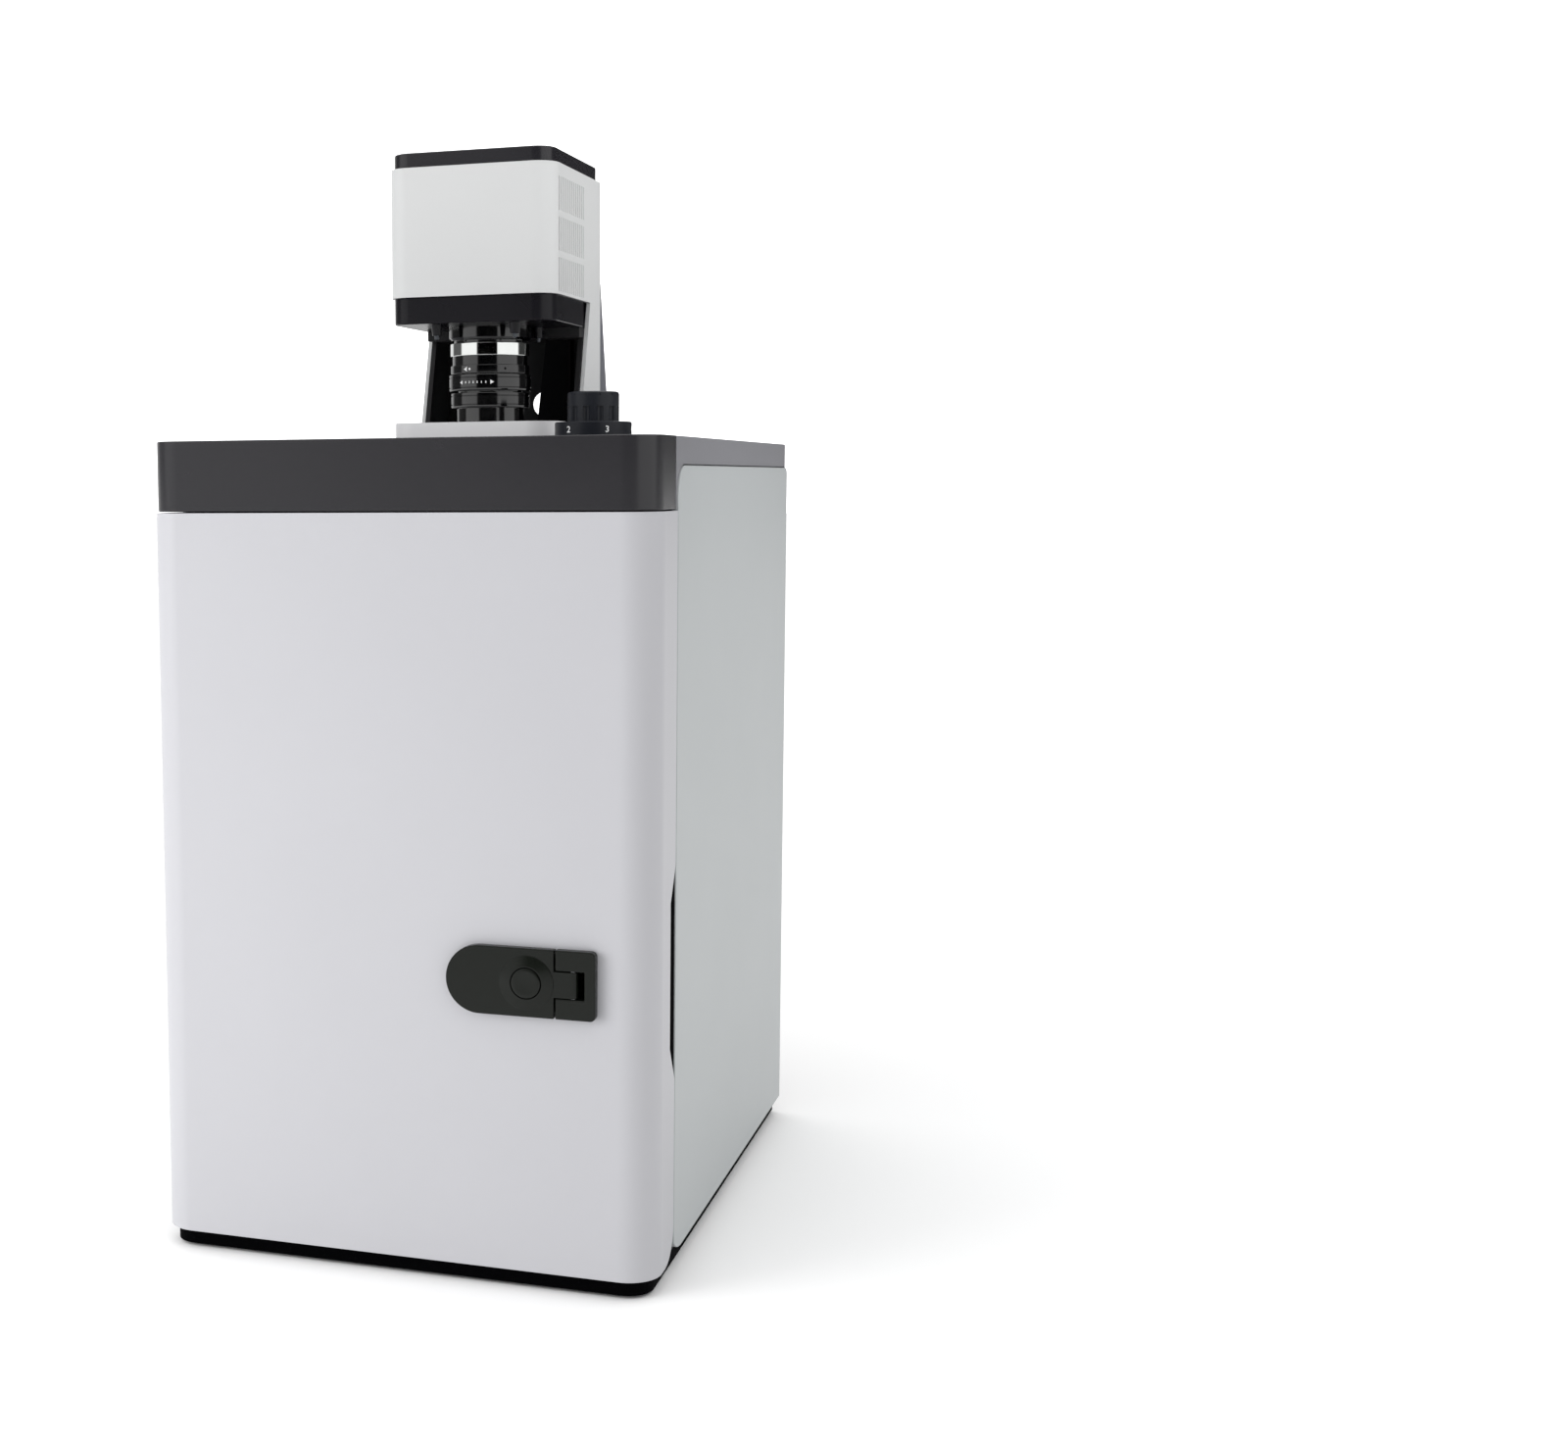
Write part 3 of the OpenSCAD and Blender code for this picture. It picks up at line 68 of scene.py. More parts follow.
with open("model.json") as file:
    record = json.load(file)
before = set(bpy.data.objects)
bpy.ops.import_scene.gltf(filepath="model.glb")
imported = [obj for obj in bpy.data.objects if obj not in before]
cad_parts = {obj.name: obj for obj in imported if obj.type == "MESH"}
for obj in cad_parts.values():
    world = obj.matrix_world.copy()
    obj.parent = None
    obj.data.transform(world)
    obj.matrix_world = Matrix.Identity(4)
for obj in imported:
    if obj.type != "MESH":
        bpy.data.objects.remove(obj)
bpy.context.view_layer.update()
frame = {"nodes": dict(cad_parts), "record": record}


# ---- helpers: colour, frame and selection ----


def linear(code):
    """The linear colour of an sRGB hex code."""
    parts = [int(code[i : i + 2], 16) / 255 for i in (0, 2, 4)]
    return [p / 12.92 if p <= 0.04045 else ((p + 0.055) / 1.055) ** 2.4 for p in parts]


def reach(node):
    """Lowest and highest corner of a frame node, in millimetres."""
    low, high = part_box(node)
    return low / MM, high / MM


def middle(node):
    """Middle of a frame node's box, in millimetres."""
    low, high = reach(node)
    return (low + high) / 2


def deselect():
    bpy.ops.object.select_all(action="DESELECT")


def only(obj):
    """Selects one object and nothing else."""
    deselect()
    obj.select_set(True)
    bpy.context.view_layer.objects.active = obj


def added(name):
    """The object that was just added, with its name."""
    obj = bpy.context.active_object
    obj.name = obj.data.name = name
    return obj


def fix_in_place():
    """Applies the selected object's transform, so it stands at the origin."""
    bpy.ops.object.transform_apply(location=True, rotation=True, scale=True)


def pick(obj, test, kind="FACE"):
    """In edit mode, selects the faces or edges whose middle (mm) and direction pass the test."""
    bpy.ops.mesh.select_mode(type=kind)
    bpy.ops.mesh.select_all(action="DESELECT")
    mesh = bmesh.from_edit_mesh(obj.data)
    if kind == "FACE":
        for face in mesh.faces:
            face.select_set(test(face.calc_center_median() / MM, face.normal))
    else:
        for edge in mesh.edges:
            a, b = (v.co for v in edge.verts)
            edge.select_set(test((a + b) / 2 / MM, (b - a).normalized()))
    bmesh.update_edit_mesh(obj.data)


# ---- helpers: outlines, in millimetres ----


def polar(centre, radius, turn):
    """The point at a radius and an angle, in radians, from a centre."""
    return centre[0] + radius * math.cos(turn), centre[1] + radius * math.sin(turn)


def arc(centre, radius, start, end, steps=10):
    """Points of an arc from one angle to another, in degrees."""
    turns = [math.radians(start + (end - start) * i / steps) for i in range(steps + 1)]
    return [polar(centre, radius, turn) for turn in turns]


def outline(a0, a1, b0, b1, radii, steps=10):
    """A rectangle whose corners are rounded from the low corner round to the left upper one."""
    corners = [(a0, b0, 180, 1, 1), (a1, b0, 270, -1, 1), (a1, b1, 0, -1, -1), (a0, b1, 90, 1, -1)]
    points = []
    for (a, b, start, toward_a, toward_b), r in zip(corners, radii):
        if r > 0:
            points += arc((a + toward_a * r, b + toward_b * r), r, start, start + 90, steps)
        else:
            points.append((a, b))
    return points


def plan(low, high, radii, steps=10, inset=0, back=0):
    """A box's rounded outline from above, moved in by the inset, with its back moved out."""
    sides = (low.x + inset, high.x - inset, low.y + inset, high.y - inset + back)
    return outline(*sides, radii, steps)


# ---- helpers: modelling ----


def wire(name, points):
    """One vertex, drawn out from point to point. The object is left in edit mode."""
    deselect()
    bpy.ops.mesh.primitive_plane_add(size=MM, location=(0, 0, 0))
    obj = added(name)
    bpy.ops.object.mode_set(mode="EDIT")
    bpy.ops.mesh.select_mode(type="VERT")
    bpy.ops.mesh.select_all(action="SELECT")
    bpy.ops.mesh.merge(type="CENTER")
    places = [Vector(p) * MM for p in points]
    bpy.ops.transform.translate(value=places[0])
    for here, there in zip(places, places[1:]):
        bpy.ops.mesh.extrude_region_move(TRANSFORM_OT_translate={"value": there - here})
    bpy.ops.mesh.select_all(action="SELECT")
    return obj


def extruded(name, points, along):
    """A flat outline, filled and extruded."""
    obj = wire(name, points)
    bpy.ops.mesh.edge_face_add()
    bpy.ops.mesh.extrude_region_move(TRANSFORM_OT_translate={"value": Vector(along) * MM})
    bpy.ops.mesh.select_all(action="SELECT")
    bpy.ops.mesh.normals_make_consistent(inside=False)
    bpy.ops.object.mode_set(mode="OBJECT")
    return obj


def prism(name, axis, shape, start, end):
    """A flat outline that lies across an axis, extruded from one place on it to another."""
    at = "xyz".index(axis)
    points = [(*point[:at], start, *point[at:]) for point in shape]
    along = [0, 0, 0]
    along[at] = end - start
    return extruded(name, points, along)


def turned(name, profile, centre, base=0.0, steps=72):
    """A (radius, height) profile, spun about an upright axis through the centre."""
    obj = wire(name, [(centre[0] + r, centre[1], base + h) for r, h in profile])
    axis = (centre[0] * MM, centre[1] * MM, 0)
    bpy.ops.mesh.spin(steps=steps, angle=math.tau, center=axis, axis=(0, 0, 1))
    bpy.ops.mesh.select_all(action="SELECT")
    bpy.ops.mesh.remove_doubles(threshold=MERGE_DISTANCE)
    bpy.ops.mesh.normals_make_consistent(inside=False)
    bpy.ops.object.mode_set(mode="OBJECT")
    return obj


def block(name, low, high):
    """A cube, at its size and place."""
    low, high = Vector(low) * MM, Vector(high) * MM
    deselect()
    bpy.ops.mesh.primitive_cube_add(size=1, location=(low + high) / 2)
    obj = added(name)
    obj.scale = high - low
    fix_in_place()
    return obj


def drum(name, centre, radius, z0, z1, steps=64):
    """A cylinder that stands between two heights."""
    deselect()
    place = Vector((centre[0], centre[1], (z0 + z1) / 2)) * MM
    bpy.ops.mesh.primitive_cylinder_add(
        vertices=steps, radius=radius * MM, depth=(z1 - z0) * MM, location=place
    )
    obj = added(name)
    fix_in_place()
    return obj


def lay_back(obj, pivot):
    """Turns an upright round piece about X at the pivot, so its top faces the user."""
    only(obj)
    about = {"orient_axis": "X", "orient_type": "GLOBAL", "center_override": Vector(pivot) * MM}
    bpy.ops.transform.rotate(value=-math.pi / 2, **about)
    fix_in_place()
    return obj


def combine(obj, other, operation="DIFFERENCE"):
    """Cuts, joins or intersects two solids, and the second one is used up."""
    only(obj)
    step = obj.modifiers.new("Combine", "BOOLEAN")
    step.operation, step.solver, step.object = operation, "EXACT", other
    bpy.ops.object.modifier_apply(modifier=step.name)
    bpy.data.objects.remove(other)
    return obj


def copies(obj, moves):
    """Repeats one finished mesh at each move, and joins them all into it."""
    made = [obj]
    for move in moves:
        only(obj)
        bpy.ops.object.duplicate()
        twin = bpy.context.active_object
        bpy.ops.transform.translate(value=Vector(move) * MM)
        fix_in_place()
        made.append(twin)
    for twin in made:
        twin.select_set(True)
    bpy.context.view_layer.objects.active = obj
    bpy.ops.object.join()
    return obj


def soften(obj, width, segments=2, limit=32):
    """Rounds the edges that are sharper than the limit, in degrees."""
    only(obj)
    step = obj.modifiers.new("Soften", "BEVEL")
    step.width, step.segments = width * MM, segments
    step.limit_method, step.angle_limit = "ANGLE", math.radians(limit)
    step.use_clamp_overlap = True
    bpy.ops.object.modifier_apply(modifier=step.name)


def even_out(obj):
    """Lets the large flat faces set the normals, so a rounded edge doesn't shade them."""
    only(obj)
    bpy.ops.object.shade_smooth_by_angle(angle=math.radians(SMOOTH_ANGLE))
    step = obj.modifiers.new("Even out", "WEIGHTED_NORMAL")
    step.mode, step.weight, step.keep_sharp = "FACE_AREA", 90, True
    bpy.ops.object.modifier_apply(modifier=step.name)


def settle(obj, slot, body, *stands_for):
    """Smooths a finished piece, gives it its finish and fixes it to its body."""
    even_out(obj)
    obj.data.materials.clear()
    obj.data.materials.append(bpy.data.materials[slot])
    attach(obj, body)
    if stands_for:
        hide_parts(*stands_for)
    return obj


# ---- settings ----


def size(name, text, default, low, high):
    return FloatProperty(
        name=name, description=text, default=default, min=low, max=high, unit="NONE"
    )


def count(name, text, default, low, high):
    return IntProperty(name=name, description=text, default=default, min=low, max=high)


def paint(name, text, code):
    return FloatVectorProperty(
        name=name, description=text, default=linear(code), min=0, max=1, size=3, subtype="COLOR"
    )


class ImagerCabinet(bpy.types.PropertyGroup):
    door_colour: paint("Door", "Colour of the door's powder coat", "b0b0b4")
    panel_colour: paint("Side panels", "Colour of the side panels' powder coat", "a9adae")
    lid_colour: paint("Lid", "Colour of the lid's powder coat", "737378")
    fascia_colour: paint("Fascia", "Colour of the moulded fascia round the lid's front", "1b1a1e")
    edge: size("Edge", "Radius of the door's and the lid's small edges, in mm", 0.9, 0.2, 2.0)
    corner: size("Corner", "Radius of the door's upright corners, in mm", 20.0, 12.0, 24.0)
    wall: size("Wall", "Wall of the door's shell, in mm", 3.0, 2.0, 4.0)


class ImagerLatch(bpy.types.PropertyGroup):
    colour: paint("Latch", "Colour of the moulded latch", "0e110d")
    edge: size("Edge", "Radius of the latch's edges, in mm", 0.7, 0.2, 1.5)
    boss: size("Boss", "Radius of the raised boss at its foot, in mm", 15.5, 14.0, 17.0)
    groove: size("Groove", "Width of the groove round the button, in mm", 0.45, 0.2, 1.0)


class ImagerKnob(bpy.types.PropertyGroup):
    colour: paint("Knob", "Colour of the moulded knob", "12151c")
    digits: count("Positions", "Numbered positions", 6, 2, 8)
    digit: size("Digit", "Height of a number, in mm", 3.7, 2.0, 8.0)
    first: size("First", "Angle of the first number, in degrees", -173.9, -180.0, 180.0)
    flutes: count("Flutes", "Flutes round the grip", 12, 6, 24)


class ImagerHead(bpy.types.PropertyGroup):
    colour: paint("Housing", "Colour of the head's powder coat", "c3c4c4")
    wall: size("Wall", "Wall of the housing, in mm", 2.5, 1.5, 4.0)
    slots: count("Slots", "Vent slots in a group", 13, 6, 16)
    pitch: size("Pitch", "Distance from one vent slot to the next, in mm", 4.5, 3.0, 6.0)
    slot: size("Slot", "Width of a vent slot, in mm", 1.2, 0.8, 2.5)


class ImagerStage(bpy.types.PropertyGroup):
    floor_colour: paint("Floor", "Colour of the floor", "fbfbfb")
    key: size("Key light", "Power of the large soft light, in watts", 3.6, 0.0, 100.0)
    fill: size("Fill light", "Power of the light on the head's side, in watts", 0.13, 0.0, 20.0)
    boxes: size("Surround", "Strength of the soft boxes round the object", 1.13, 0.0, 3.0)
    roof: size("Roof", "Strength of the light from above", 1.35, 0.0, 3.0)


# ---- finishes ----


def put(tree, kind, inputs=None, **settings):
    """Adds one shader node. An input is a value, or another node's output to link."""
    node = tree.nodes.new("ShaderNode" + kind)
    for key, value in settings.items():
        setattr(node, key, value)
    for key, value in (inputs or {}).items():
        if isinstance(value, bpy.types.NodeSocket):
            tree.links.new(value, node.inputs[key])
        else:
            node.inputs[key].default_value = value
    return node


def new_finish(slot, **sockets):
    """The slot's material, emptied, with the shader's plain values and the nodes all share."""
    material = bpy.data.materials.get(slot) or bpy.data.materials.new(slot)
    material.use_nodes = True
    tree = material.node_tree
    tree.nodes.clear()
    plain = {name.replace("_", " "): value for name, value in sockets.items()}
    shader = put(tree, "BsdfPrincipled", plain)
    put(tree, "OutputMaterial", {"Surface": shader.outputs["BSDF"]})
    place = put(tree, "TexCoord")
    return tree, shader, place.outputs["Object"]


def shade(tree, shader, pattern, colour, change):
    """Colour, or hex code, that moves a little lighter and darker with the pattern."""
    colour = linear(colour) if isinstance(colour, str) else colour
    low = [c * (1 - change) for c in colour] + [1]
    high = [min(1, c * (1 + change)) for c in colour] + [1]
    mix = put(tree, "Mix", data_type="RGBA")
    tree.links.new(pattern, mix.inputs["Factor"])
    # The colour sockets share their names with the number and vector ones
    mix.inputs[6].default_value, mix.inputs[7].default_value = low, high
    tree.links.new(mix.outputs[2], shader.inputs["Base Color"])


def vary(tree, shader, pattern, low, high):
    """Roughness between two values, as the pattern goes."""
    span = put(tree, "MapRange", {"Value": pattern, "To Min": low, "To Max": high})
    tree.links.new(span.outputs["Result"], shader.inputs["Roughness"])


def raise_by(tree, shader, pattern, depth, strength=1.0):
    """Relief of the pattern, in millimetres."""
    bump = put(tree, "Bump", {"Height": pattern, "Distance": depth * MM, "Strength": strength})
    tree.links.new(bump.outputs["Normal"], shader.inputs["Normal"])


def per(mm):
    """Texture scale that repeats every so many millimetres."""
    return 1 / (mm * MM)


def noise(tree, place, mm, detail):
    """A cloudy pattern, with patches about so many millimetres wide."""
    inputs = {"Vector": place, "Scale": per(mm), "Detail": detail}
    return put(tree, "TexNoise", inputs).outputs["Fac"]


def powder_coat(slot, colour, rough, peel=1.3):
    """Powder-coated steel: a satin paint whose skin is dimpled like orange peel, so its
    highlights have a soft, slightly broken edge."""
    coat = {"Coat_Weight": 0.12, "Coat_Roughness": 0.3}
    tree, shader, place = new_finish(slot, Roughness=rough, IOR=1.5, **coat)
    skin = noise(tree, place, peel, 2.0)
    cloud = noise(tree, place, 70, 3.0)
    shade(tree, shader, cloud, colour, 0.018)
    vary(tree, shader, cloud, rough - 0.05, rough + 0.05)
    raise_by(tree, shader, skin, 0.02, 0.5)


def moulded(slot, colour, rough, gloss=0.5, grain=0.5, depth=0.015):
    """Moulded ABS: a fine spark-eroded grain, which dulls the black, and faint patches where
    hands have polished it."""
    tree, shader, place = new_finish(slot, Roughness=rough, Specular_IOR_Level=gloss)
    grit = noise(tree, place, grain, 1.0)
    hands = noise(tree, place, 45, 4.0)
    shade(tree, shader, hands, colour, 0.06)
    vary(tree, shader, hands, rough - 0.05, rough + 0.05)
    raise_by(tree, shader, grit, depth, 0.6)


def turned_metal(slot, colour, rough, pitch=0.35, metal=1.0, gloss=0.5, depth=0.008):
    """Turned metal: the cutter leaves rings a few tenths of a millimetre apart, which draw
    highlights out along the axis. Under black anodising the oxide's own gloss makes them."""
    shine = {"Metallic": metal, "Roughness": rough, "Specular_IOR_Level": gloss}
    tree, shader, place = new_finish(slot, **shine)
    wave = {"Vector": place, "Scale": per(pitch) / WAVES, "Distortion": 0.4, "Detail": 1.0}
    rings = put(tree, "TexWave", wave, bands_direction="Z")
    wear = noise(tree, place, 9, 4.0)
    shade(tree, shader, wear, colour, 0.08)
    vary(tree, shader, wear, rough - 0.05, rough + 0.07)
    raise_by(tree, shader, rings.outputs["Fac"], depth, 0.5)


def sheet_metal(slot, colour, rough, spangle=6.0):
    """Bare zinc-coated sheet: crystals some millimetres wide that catch the light singly."""
    tree, shader, place = new_finish(slot, Metallic=1.0, Roughness=rough)
    crystals = put(tree, "TexVoronoi", {"Vector": place, "Scale": per(spangle)})
    tone = put(tree, "SeparateColor", {"Color": crystals.outputs["Color"]})
    shade(tree, shader, tone.outputs["Red"], colour, 0.14)
    vary(tree, shader, tone.outputs["Green"], rough - 0.08, rough + 0.1)
    grain = noise(tree, place, 0.6, 2.0)
    raise_by(tree, shader, grain, 0.01, 0.4)


def soft(slot, colour, cell, depth):
    """Rubber or open foam: no gloss, and a grain of cell pits or talc in relief, with painted
    shade that darkens the colour in each pit.
    """
    tree, shader, place = new_finish(slot, Roughness=0.9, Specular_IOR_Level=0.25)
    pits_and_painted_shade = put(tree, "TexVoronoi", {"Vector": place, "Scale": per(cell)})
    # Painted shade: the colour is darkest at each pit's middle, the hollow that the relief below
    # sinks
    shade(tree, shader, pits_and_painted_shade.outputs["Distance"], colour, 0.25)
    raise_by(tree, shader, pits_and_painted_shade.outputs["Distance"], depth)


def clear(slot, colour, rough, through, ior):
    """Glass or opal plastic: light passes through it, and its face still mirrors the room."""
    tree, shader, place = new_finish(slot, Roughness=rough, IOR=ior, Transmission_Weight=through)
    dust = noise(tree, place, 1.2, 5.0)
    shade(tree, shader, dust, colour, 0.04)
    vary(tree, shader, dust, rough, rough + 0.03)


def printed(slot, colour):
    """Pad-printed white ink: matt, a hair uneven at its edges."""
    tree, shader, place = new_finish(slot, Roughness=0.6)
    ink = noise(tree, place, 0.8, 3.0)
    shade(tree, shader, ink, colour, 0.06)


def circuit(slot, colour):
    """Glass-epoxy board: glossy green mask over copper tracks, which show as raised lines."""
    tree, shader, place = new_finish(slot, Roughness=0.3, IOR=1.5)
    flat = put(tree, "Mapping", {"Vector": place, "Rotation": (math.pi / 2, 0, 0)})
    brick = {"Vector": flat.outputs["Vector"], "Scale": per(3), "Mortar Size": 0.06}
    tracks = put(tree, "TexBrick", brick)
    shade(tree, shader, tracks.outputs["Fac"], colour, 0.35)
    raise_by(tree, shader, tracks.outputs["Fac"], 0.03)


class IMAGER_OT_finishes(bpy.types.Operator):
    """Makes one material for each finish, and gives every frame node its own"""

    bl_idname = "imager.finishes"
    bl_label = "Finishes"

    def execute(self, context):
        scene = context.scene
        cabinet = scene.imager_cabinet
        powder_coat("door_grey", cabinet.door_colour, 0.42)
        powder_coat("panel_grey", cabinet.panel_colour, 0.46)
        powder_coat("head_white", scene.imager_head.colour, 0.44)
        powder_coat("plate_grey", "dadadb", 0.46)
        powder_coat("cover_grey", "5f6067", 0.4)
        powder_coat("rear_black", "2a2a2e", 0.55, 0.9)
        moulded("plinth_black", "020203", 0.8, 0.03)
        powder_coat("inner_black", "0d0d0f", 0.8, 0.7)
        powder_coat("lid_grey", cabinet.lid_colour, 0.5, 0.9)
        moulded("satin_black", cabinet.fascia_colour, 0.26)
        moulded("skirt_black", "0d0c11", 0.28, 0.24)
        moulded("latch_black", scene.imager_latch.colour, 0.22, 0.22, 0.6, 0.02)
        moulded("knob_black", scene.imager_knob.colour, 0.38, 0.3)
        moulded("port_black", "0b0b0e", 0.7, 0.1)
        moulded("wheel_black", "1b1b1e", 0.6)
        moulded("pulley_white", "d9dadb", 0.5)
        moulded("tray_white", "e2e3e4", 0.35, 0.5, 0.8, 0.005)
        turned_metal("lens_black", "020203", 0.1, metal=0.0, gloss=0.85, depth=0.001)
        turned_metal("silver", "e6e8e6", 0.06, depth=0.001)
        turned_metal("bright_steel", "c3c5c8", 0.25)
        turned_metal("hinge_steel", "55585c", 0.4)
        turned_metal("bronze", "b08d57", 0.4)
        turned_metal("camera_grey", "3a3b40", 0.45, 0.8, 0.0)
        sheet_metal("supply_steel", "9a9c9f", 0.35)
        sheet_metal("sink_metal", "b7babd", 0.38, 1.5)
        sheet_metal("port_metal", "c9cbcd", 0.25, 2.0)
        soft("rubber", "17171a", 0.7, 0.05)
        soft("foam", "1a1a1c", 0.9, 0.3)
        clear("diffuser", "eef2f2", 0.5, 0.35, 1.58)
        clear("lens_glass", "8d9ac2", 0.02, 0.95, 1.6)
        clear("filter_glass", "a85a30", 0.03, 0.8, 1.52)
        circuit("board_green", "1f5b3a")
        printed("white_ink", "e9eaea")
        wanted = {row["node"]: row["material_slot"] for row in frame["record"]["subparts"]}
        for name, node in frame["nodes"].items():
            node.data.materials.clear()
            node.data.materials.append(bpy.data.materials[wanted[name]])
        return {"FINISHED"}


# ---- cabinet ----


class IMAGER_OT_door(bpy.types.Operator):
    """Models the door's wrapped shell, with its finger pull and the seat of the latch"""

    bl_idname = "imager.door"
    bl_label = "Door"

    def execute(self, context):
        s = context.scene.imager_cabinet
        low, high = reach("door_shell")
        heel, wall, turn, fine = 20, s.wall, 4, 14
        shape = plan(low, high, [s.corner, s.corner, 0, turn], fine)
        door = prism("door_skin", "z", shape, low.z - 1, high.z + 1)
        side = outline(low.y - 1, high.y, low.z, high.z, [0, heel, 0, 0], fine)
        combine(door, prism("side", "x", side, low.x - 1, high.x + 1), "INTERSECT")
        inner, behind = s.corner - wall, high.y + 6
        shape = plan(low, high, [inner, inner, 0, 0], fine, wall, wall + 5)
        hollow = prism("hollow", "z", shape, low.z, high.z)
        side = [(low.y - 1, low.z + wall), (high.y - heel, low.z + wall)]
        side += arc((high.y - heel, low.z + heel), heel - wall, -90, 0)[1:]
        side += [(behind, low.z + heel), (behind, high.z - wall), (low.y - 1, high.z - wall)]
        combine(hollow, prism("side", "x", side, low.x - 1, high.x + 1), "INTERSECT")
        combine(door, hollow)
        self.openings(door, low, high)
        soften(door, s.edge, 3)
        settle(door, "door_grey", "door", "door_shell")
        self.cup(high)
        return {"FINISHED"}

    def cup(self, door_high):
        """The moulded cup behind the finger pull, with a lip that closes the notch's rear."""
        low, high = reach("finger_cup")
        wall, lip, rim, gap = 1.5, 1.4, 3, 0.1
        cup = block("finger_cup_skin", low, high)
        inner = block("inner", low + Vector((wall, wall, wall)), high - Vector((-1, wall, wall)))
        combine(cup, inner)
        shape = outline(door_high.y - lip, door_high.y - gap, low.z + rim, high.z - rim, [0] * 4)
        edge = prism("lip", "x", shape, high.x - 0.5, door_high.x - 0.4)
        combine(cup, edge, "UNION")
        soften(cup, 0.2, 2)
        settle(cup, "port_black", "door", "finger_cup")

    def openings(self, door, low, high):
        """The finger pull's tapered notch, the latch's seat and the holes for the pivots."""
        cup_low, cup_high = reach("finger_cup")
        taper, depth, rim = 21, 11.5, 3
        z0, z1 = cup_low.z + rim + taper, cup_high.z - rim - taper
        notch = [(high.y + 1, z0 - taper), (high.y - depth, z0), (high.y - depth, z1)]
        notch.append((high.y + 1, z1 + taper))
        combine(door, prism("notch", "x", notch, high.x - 4, high.x + 2))
        pan = latch_pan(*reach("latch_base"), 0)
        combine(door, prism("pan", "y", pan, low.y - 1, low.y + 5))
        pivot, steps = middle("pivot_pins"), 32
        combine(door, drum("lower_hole", pivot, 5, low.z - 1, low.z + 19, steps))
        combine(door, drum("upper_hole", pivot, 3, high.z - 5, high.z + 1, steps))


class IMAGER_OT_side_panels(bpy.types.Operator):
    """Models the two side panels, with their round shoulders and the sweep at the toe"""

    bl_idname = "imager.side_panels"
    bl_label = "Side panels"

    def execute(self, context):
        toe, run = 26, 18
        lift = math.degrees(math.asin(run / toe))
        for name in ("side_panel_right", "side_panel_left"):
            low, high = reach(name)
            shape = arc((low.y + run, low.z + toe), toe, -90 - lift, -90, 8)
            radii = [0, 0, PANEL_HEEL, PANEL_SHOULDER]
            shape += outline(low.y, high.y, low.z, high.z, radii)[1:]
            panel = prism(name.replace("panel", "skin"), "x", shape, low.x, high.x)
            soften(panel, 0.7, 3)
            settle(panel, "panel_grey", "root", name)
        return {"FINISHED"}


class IMAGER_OT_lid(bpy.types.Operator):
    """Models the painted lid, let in for the side panels, and the black fascia round its front"""

    bl_idname = "imager.lid"
    bl_label = "Lid"

    def execute(self, context):
        s = context.scene.imager_cabinet
        self.fascia(s)
        self.lid(s)
        return {"FINISHED"}

    def fascia(self, s):
        """A U-shaped band, open at the back."""
        low, high = reach("lid_fascia")
        wall, bend, fine = FASCIA_WALL, s.corner - 1, 16
        shape = plan(low, high, [bend, bend, 0, 0], fine)
        fascia = prism("fascia_skin", "z", shape, low.z, high.z)
        bend -= wall
        shape = plan(low, high, [bend, bend, 0, 0], fine, wall, wall + 5)
        combine(fascia, prism("hollow", "z", shape, low.z - 1, high.z + 1))
        soften(fascia, 0.7, 3)
        settle(fascia, "satin_black", "root", "lid_fascia")

    def lid(self, s):
        """The cover, its nose inside the fascia, the rebates for the panels and the holes."""
        low, high = reach("top_cover")
        front, seam = reach("lid_fascia")
        wall, gap, ease, bend = 3, 0.3, 0.7, s.corner - 1 - FASCIA_WALL
        panel_low, panel_high = reach("side_panel_right")
        shape = outline(low.x, high.x, seam.y + gap, high.y, [0, 0, 4, 4])
        lid = prism("lid_skin", "z", shape, low.z, high.z)
        soften(lid, 0.8, 3)
        half, nose_y = front.x + FASCIA_WALL + gap, front.y + FASCIA_WALL
        shape = outline(half, -half, nose_y, seam.y + 3, [bend, bend, 0, 0], 16)
        combine(lid, prism("nose", "z", shape, low.z, high.z - 0.1), "UNION")
        inner = panel_low.x - gap
        r, wide = PANEL_HEEL, 5
        shape = [(panel_low.y - ease, low.z - 1), (high.y + ease, low.z - 1)]
        shape += arc((high.y - r, panel_high.z - r), r + ease, 0, 90, 6)
        r = PANEL_SHOULDER
        shape += arc((panel_low.y + r, panel_high.z - r), r + ease, 90, 180, 14)
        for x in (inner, -inner - wide):
            combine(lid, prism("rebate", "x", shape, x, x + wide))
        flange = reach("chamber_liner")[0].y
        half = inner - wall
        end = (half, high.y - wall, high.z - wall)
        combine(lid, block("room", (-half, flange, low.z - 1), end))
        shape = outline(-half, half, nose_y + wall, flange + 1, [bend - wall, bend - wall, 0, 0])
        combine(lid, prism("front_room", "z", shape, low.z + wall, high.z - wall))
        for node, radius in (("knob_bush", 7), (LENS, 24), ("cable_duct", LEAD_BORE)):
            combine(lid, drum("hole", middle(node), radius, high.z - wall - 1, high.z + 1, 48))
        settle(lid, "lid_grey", "root", "top_cover")


# ---- latch ----


def latch_pan(low, high, shrink):
    """Outline of the pan let into the door, with a half-round end that the handle covers."""
    low_z, high_z = low.z + 3 + shrink, high.z - 3 - shrink
    r = (high_z - low_z) / 2
    radii = [r - 0.01, 3, 3, r - 0.01]
    return outline(low.x + shrink, high.x - 2 - shrink, low_z, high_z, radii, 14)


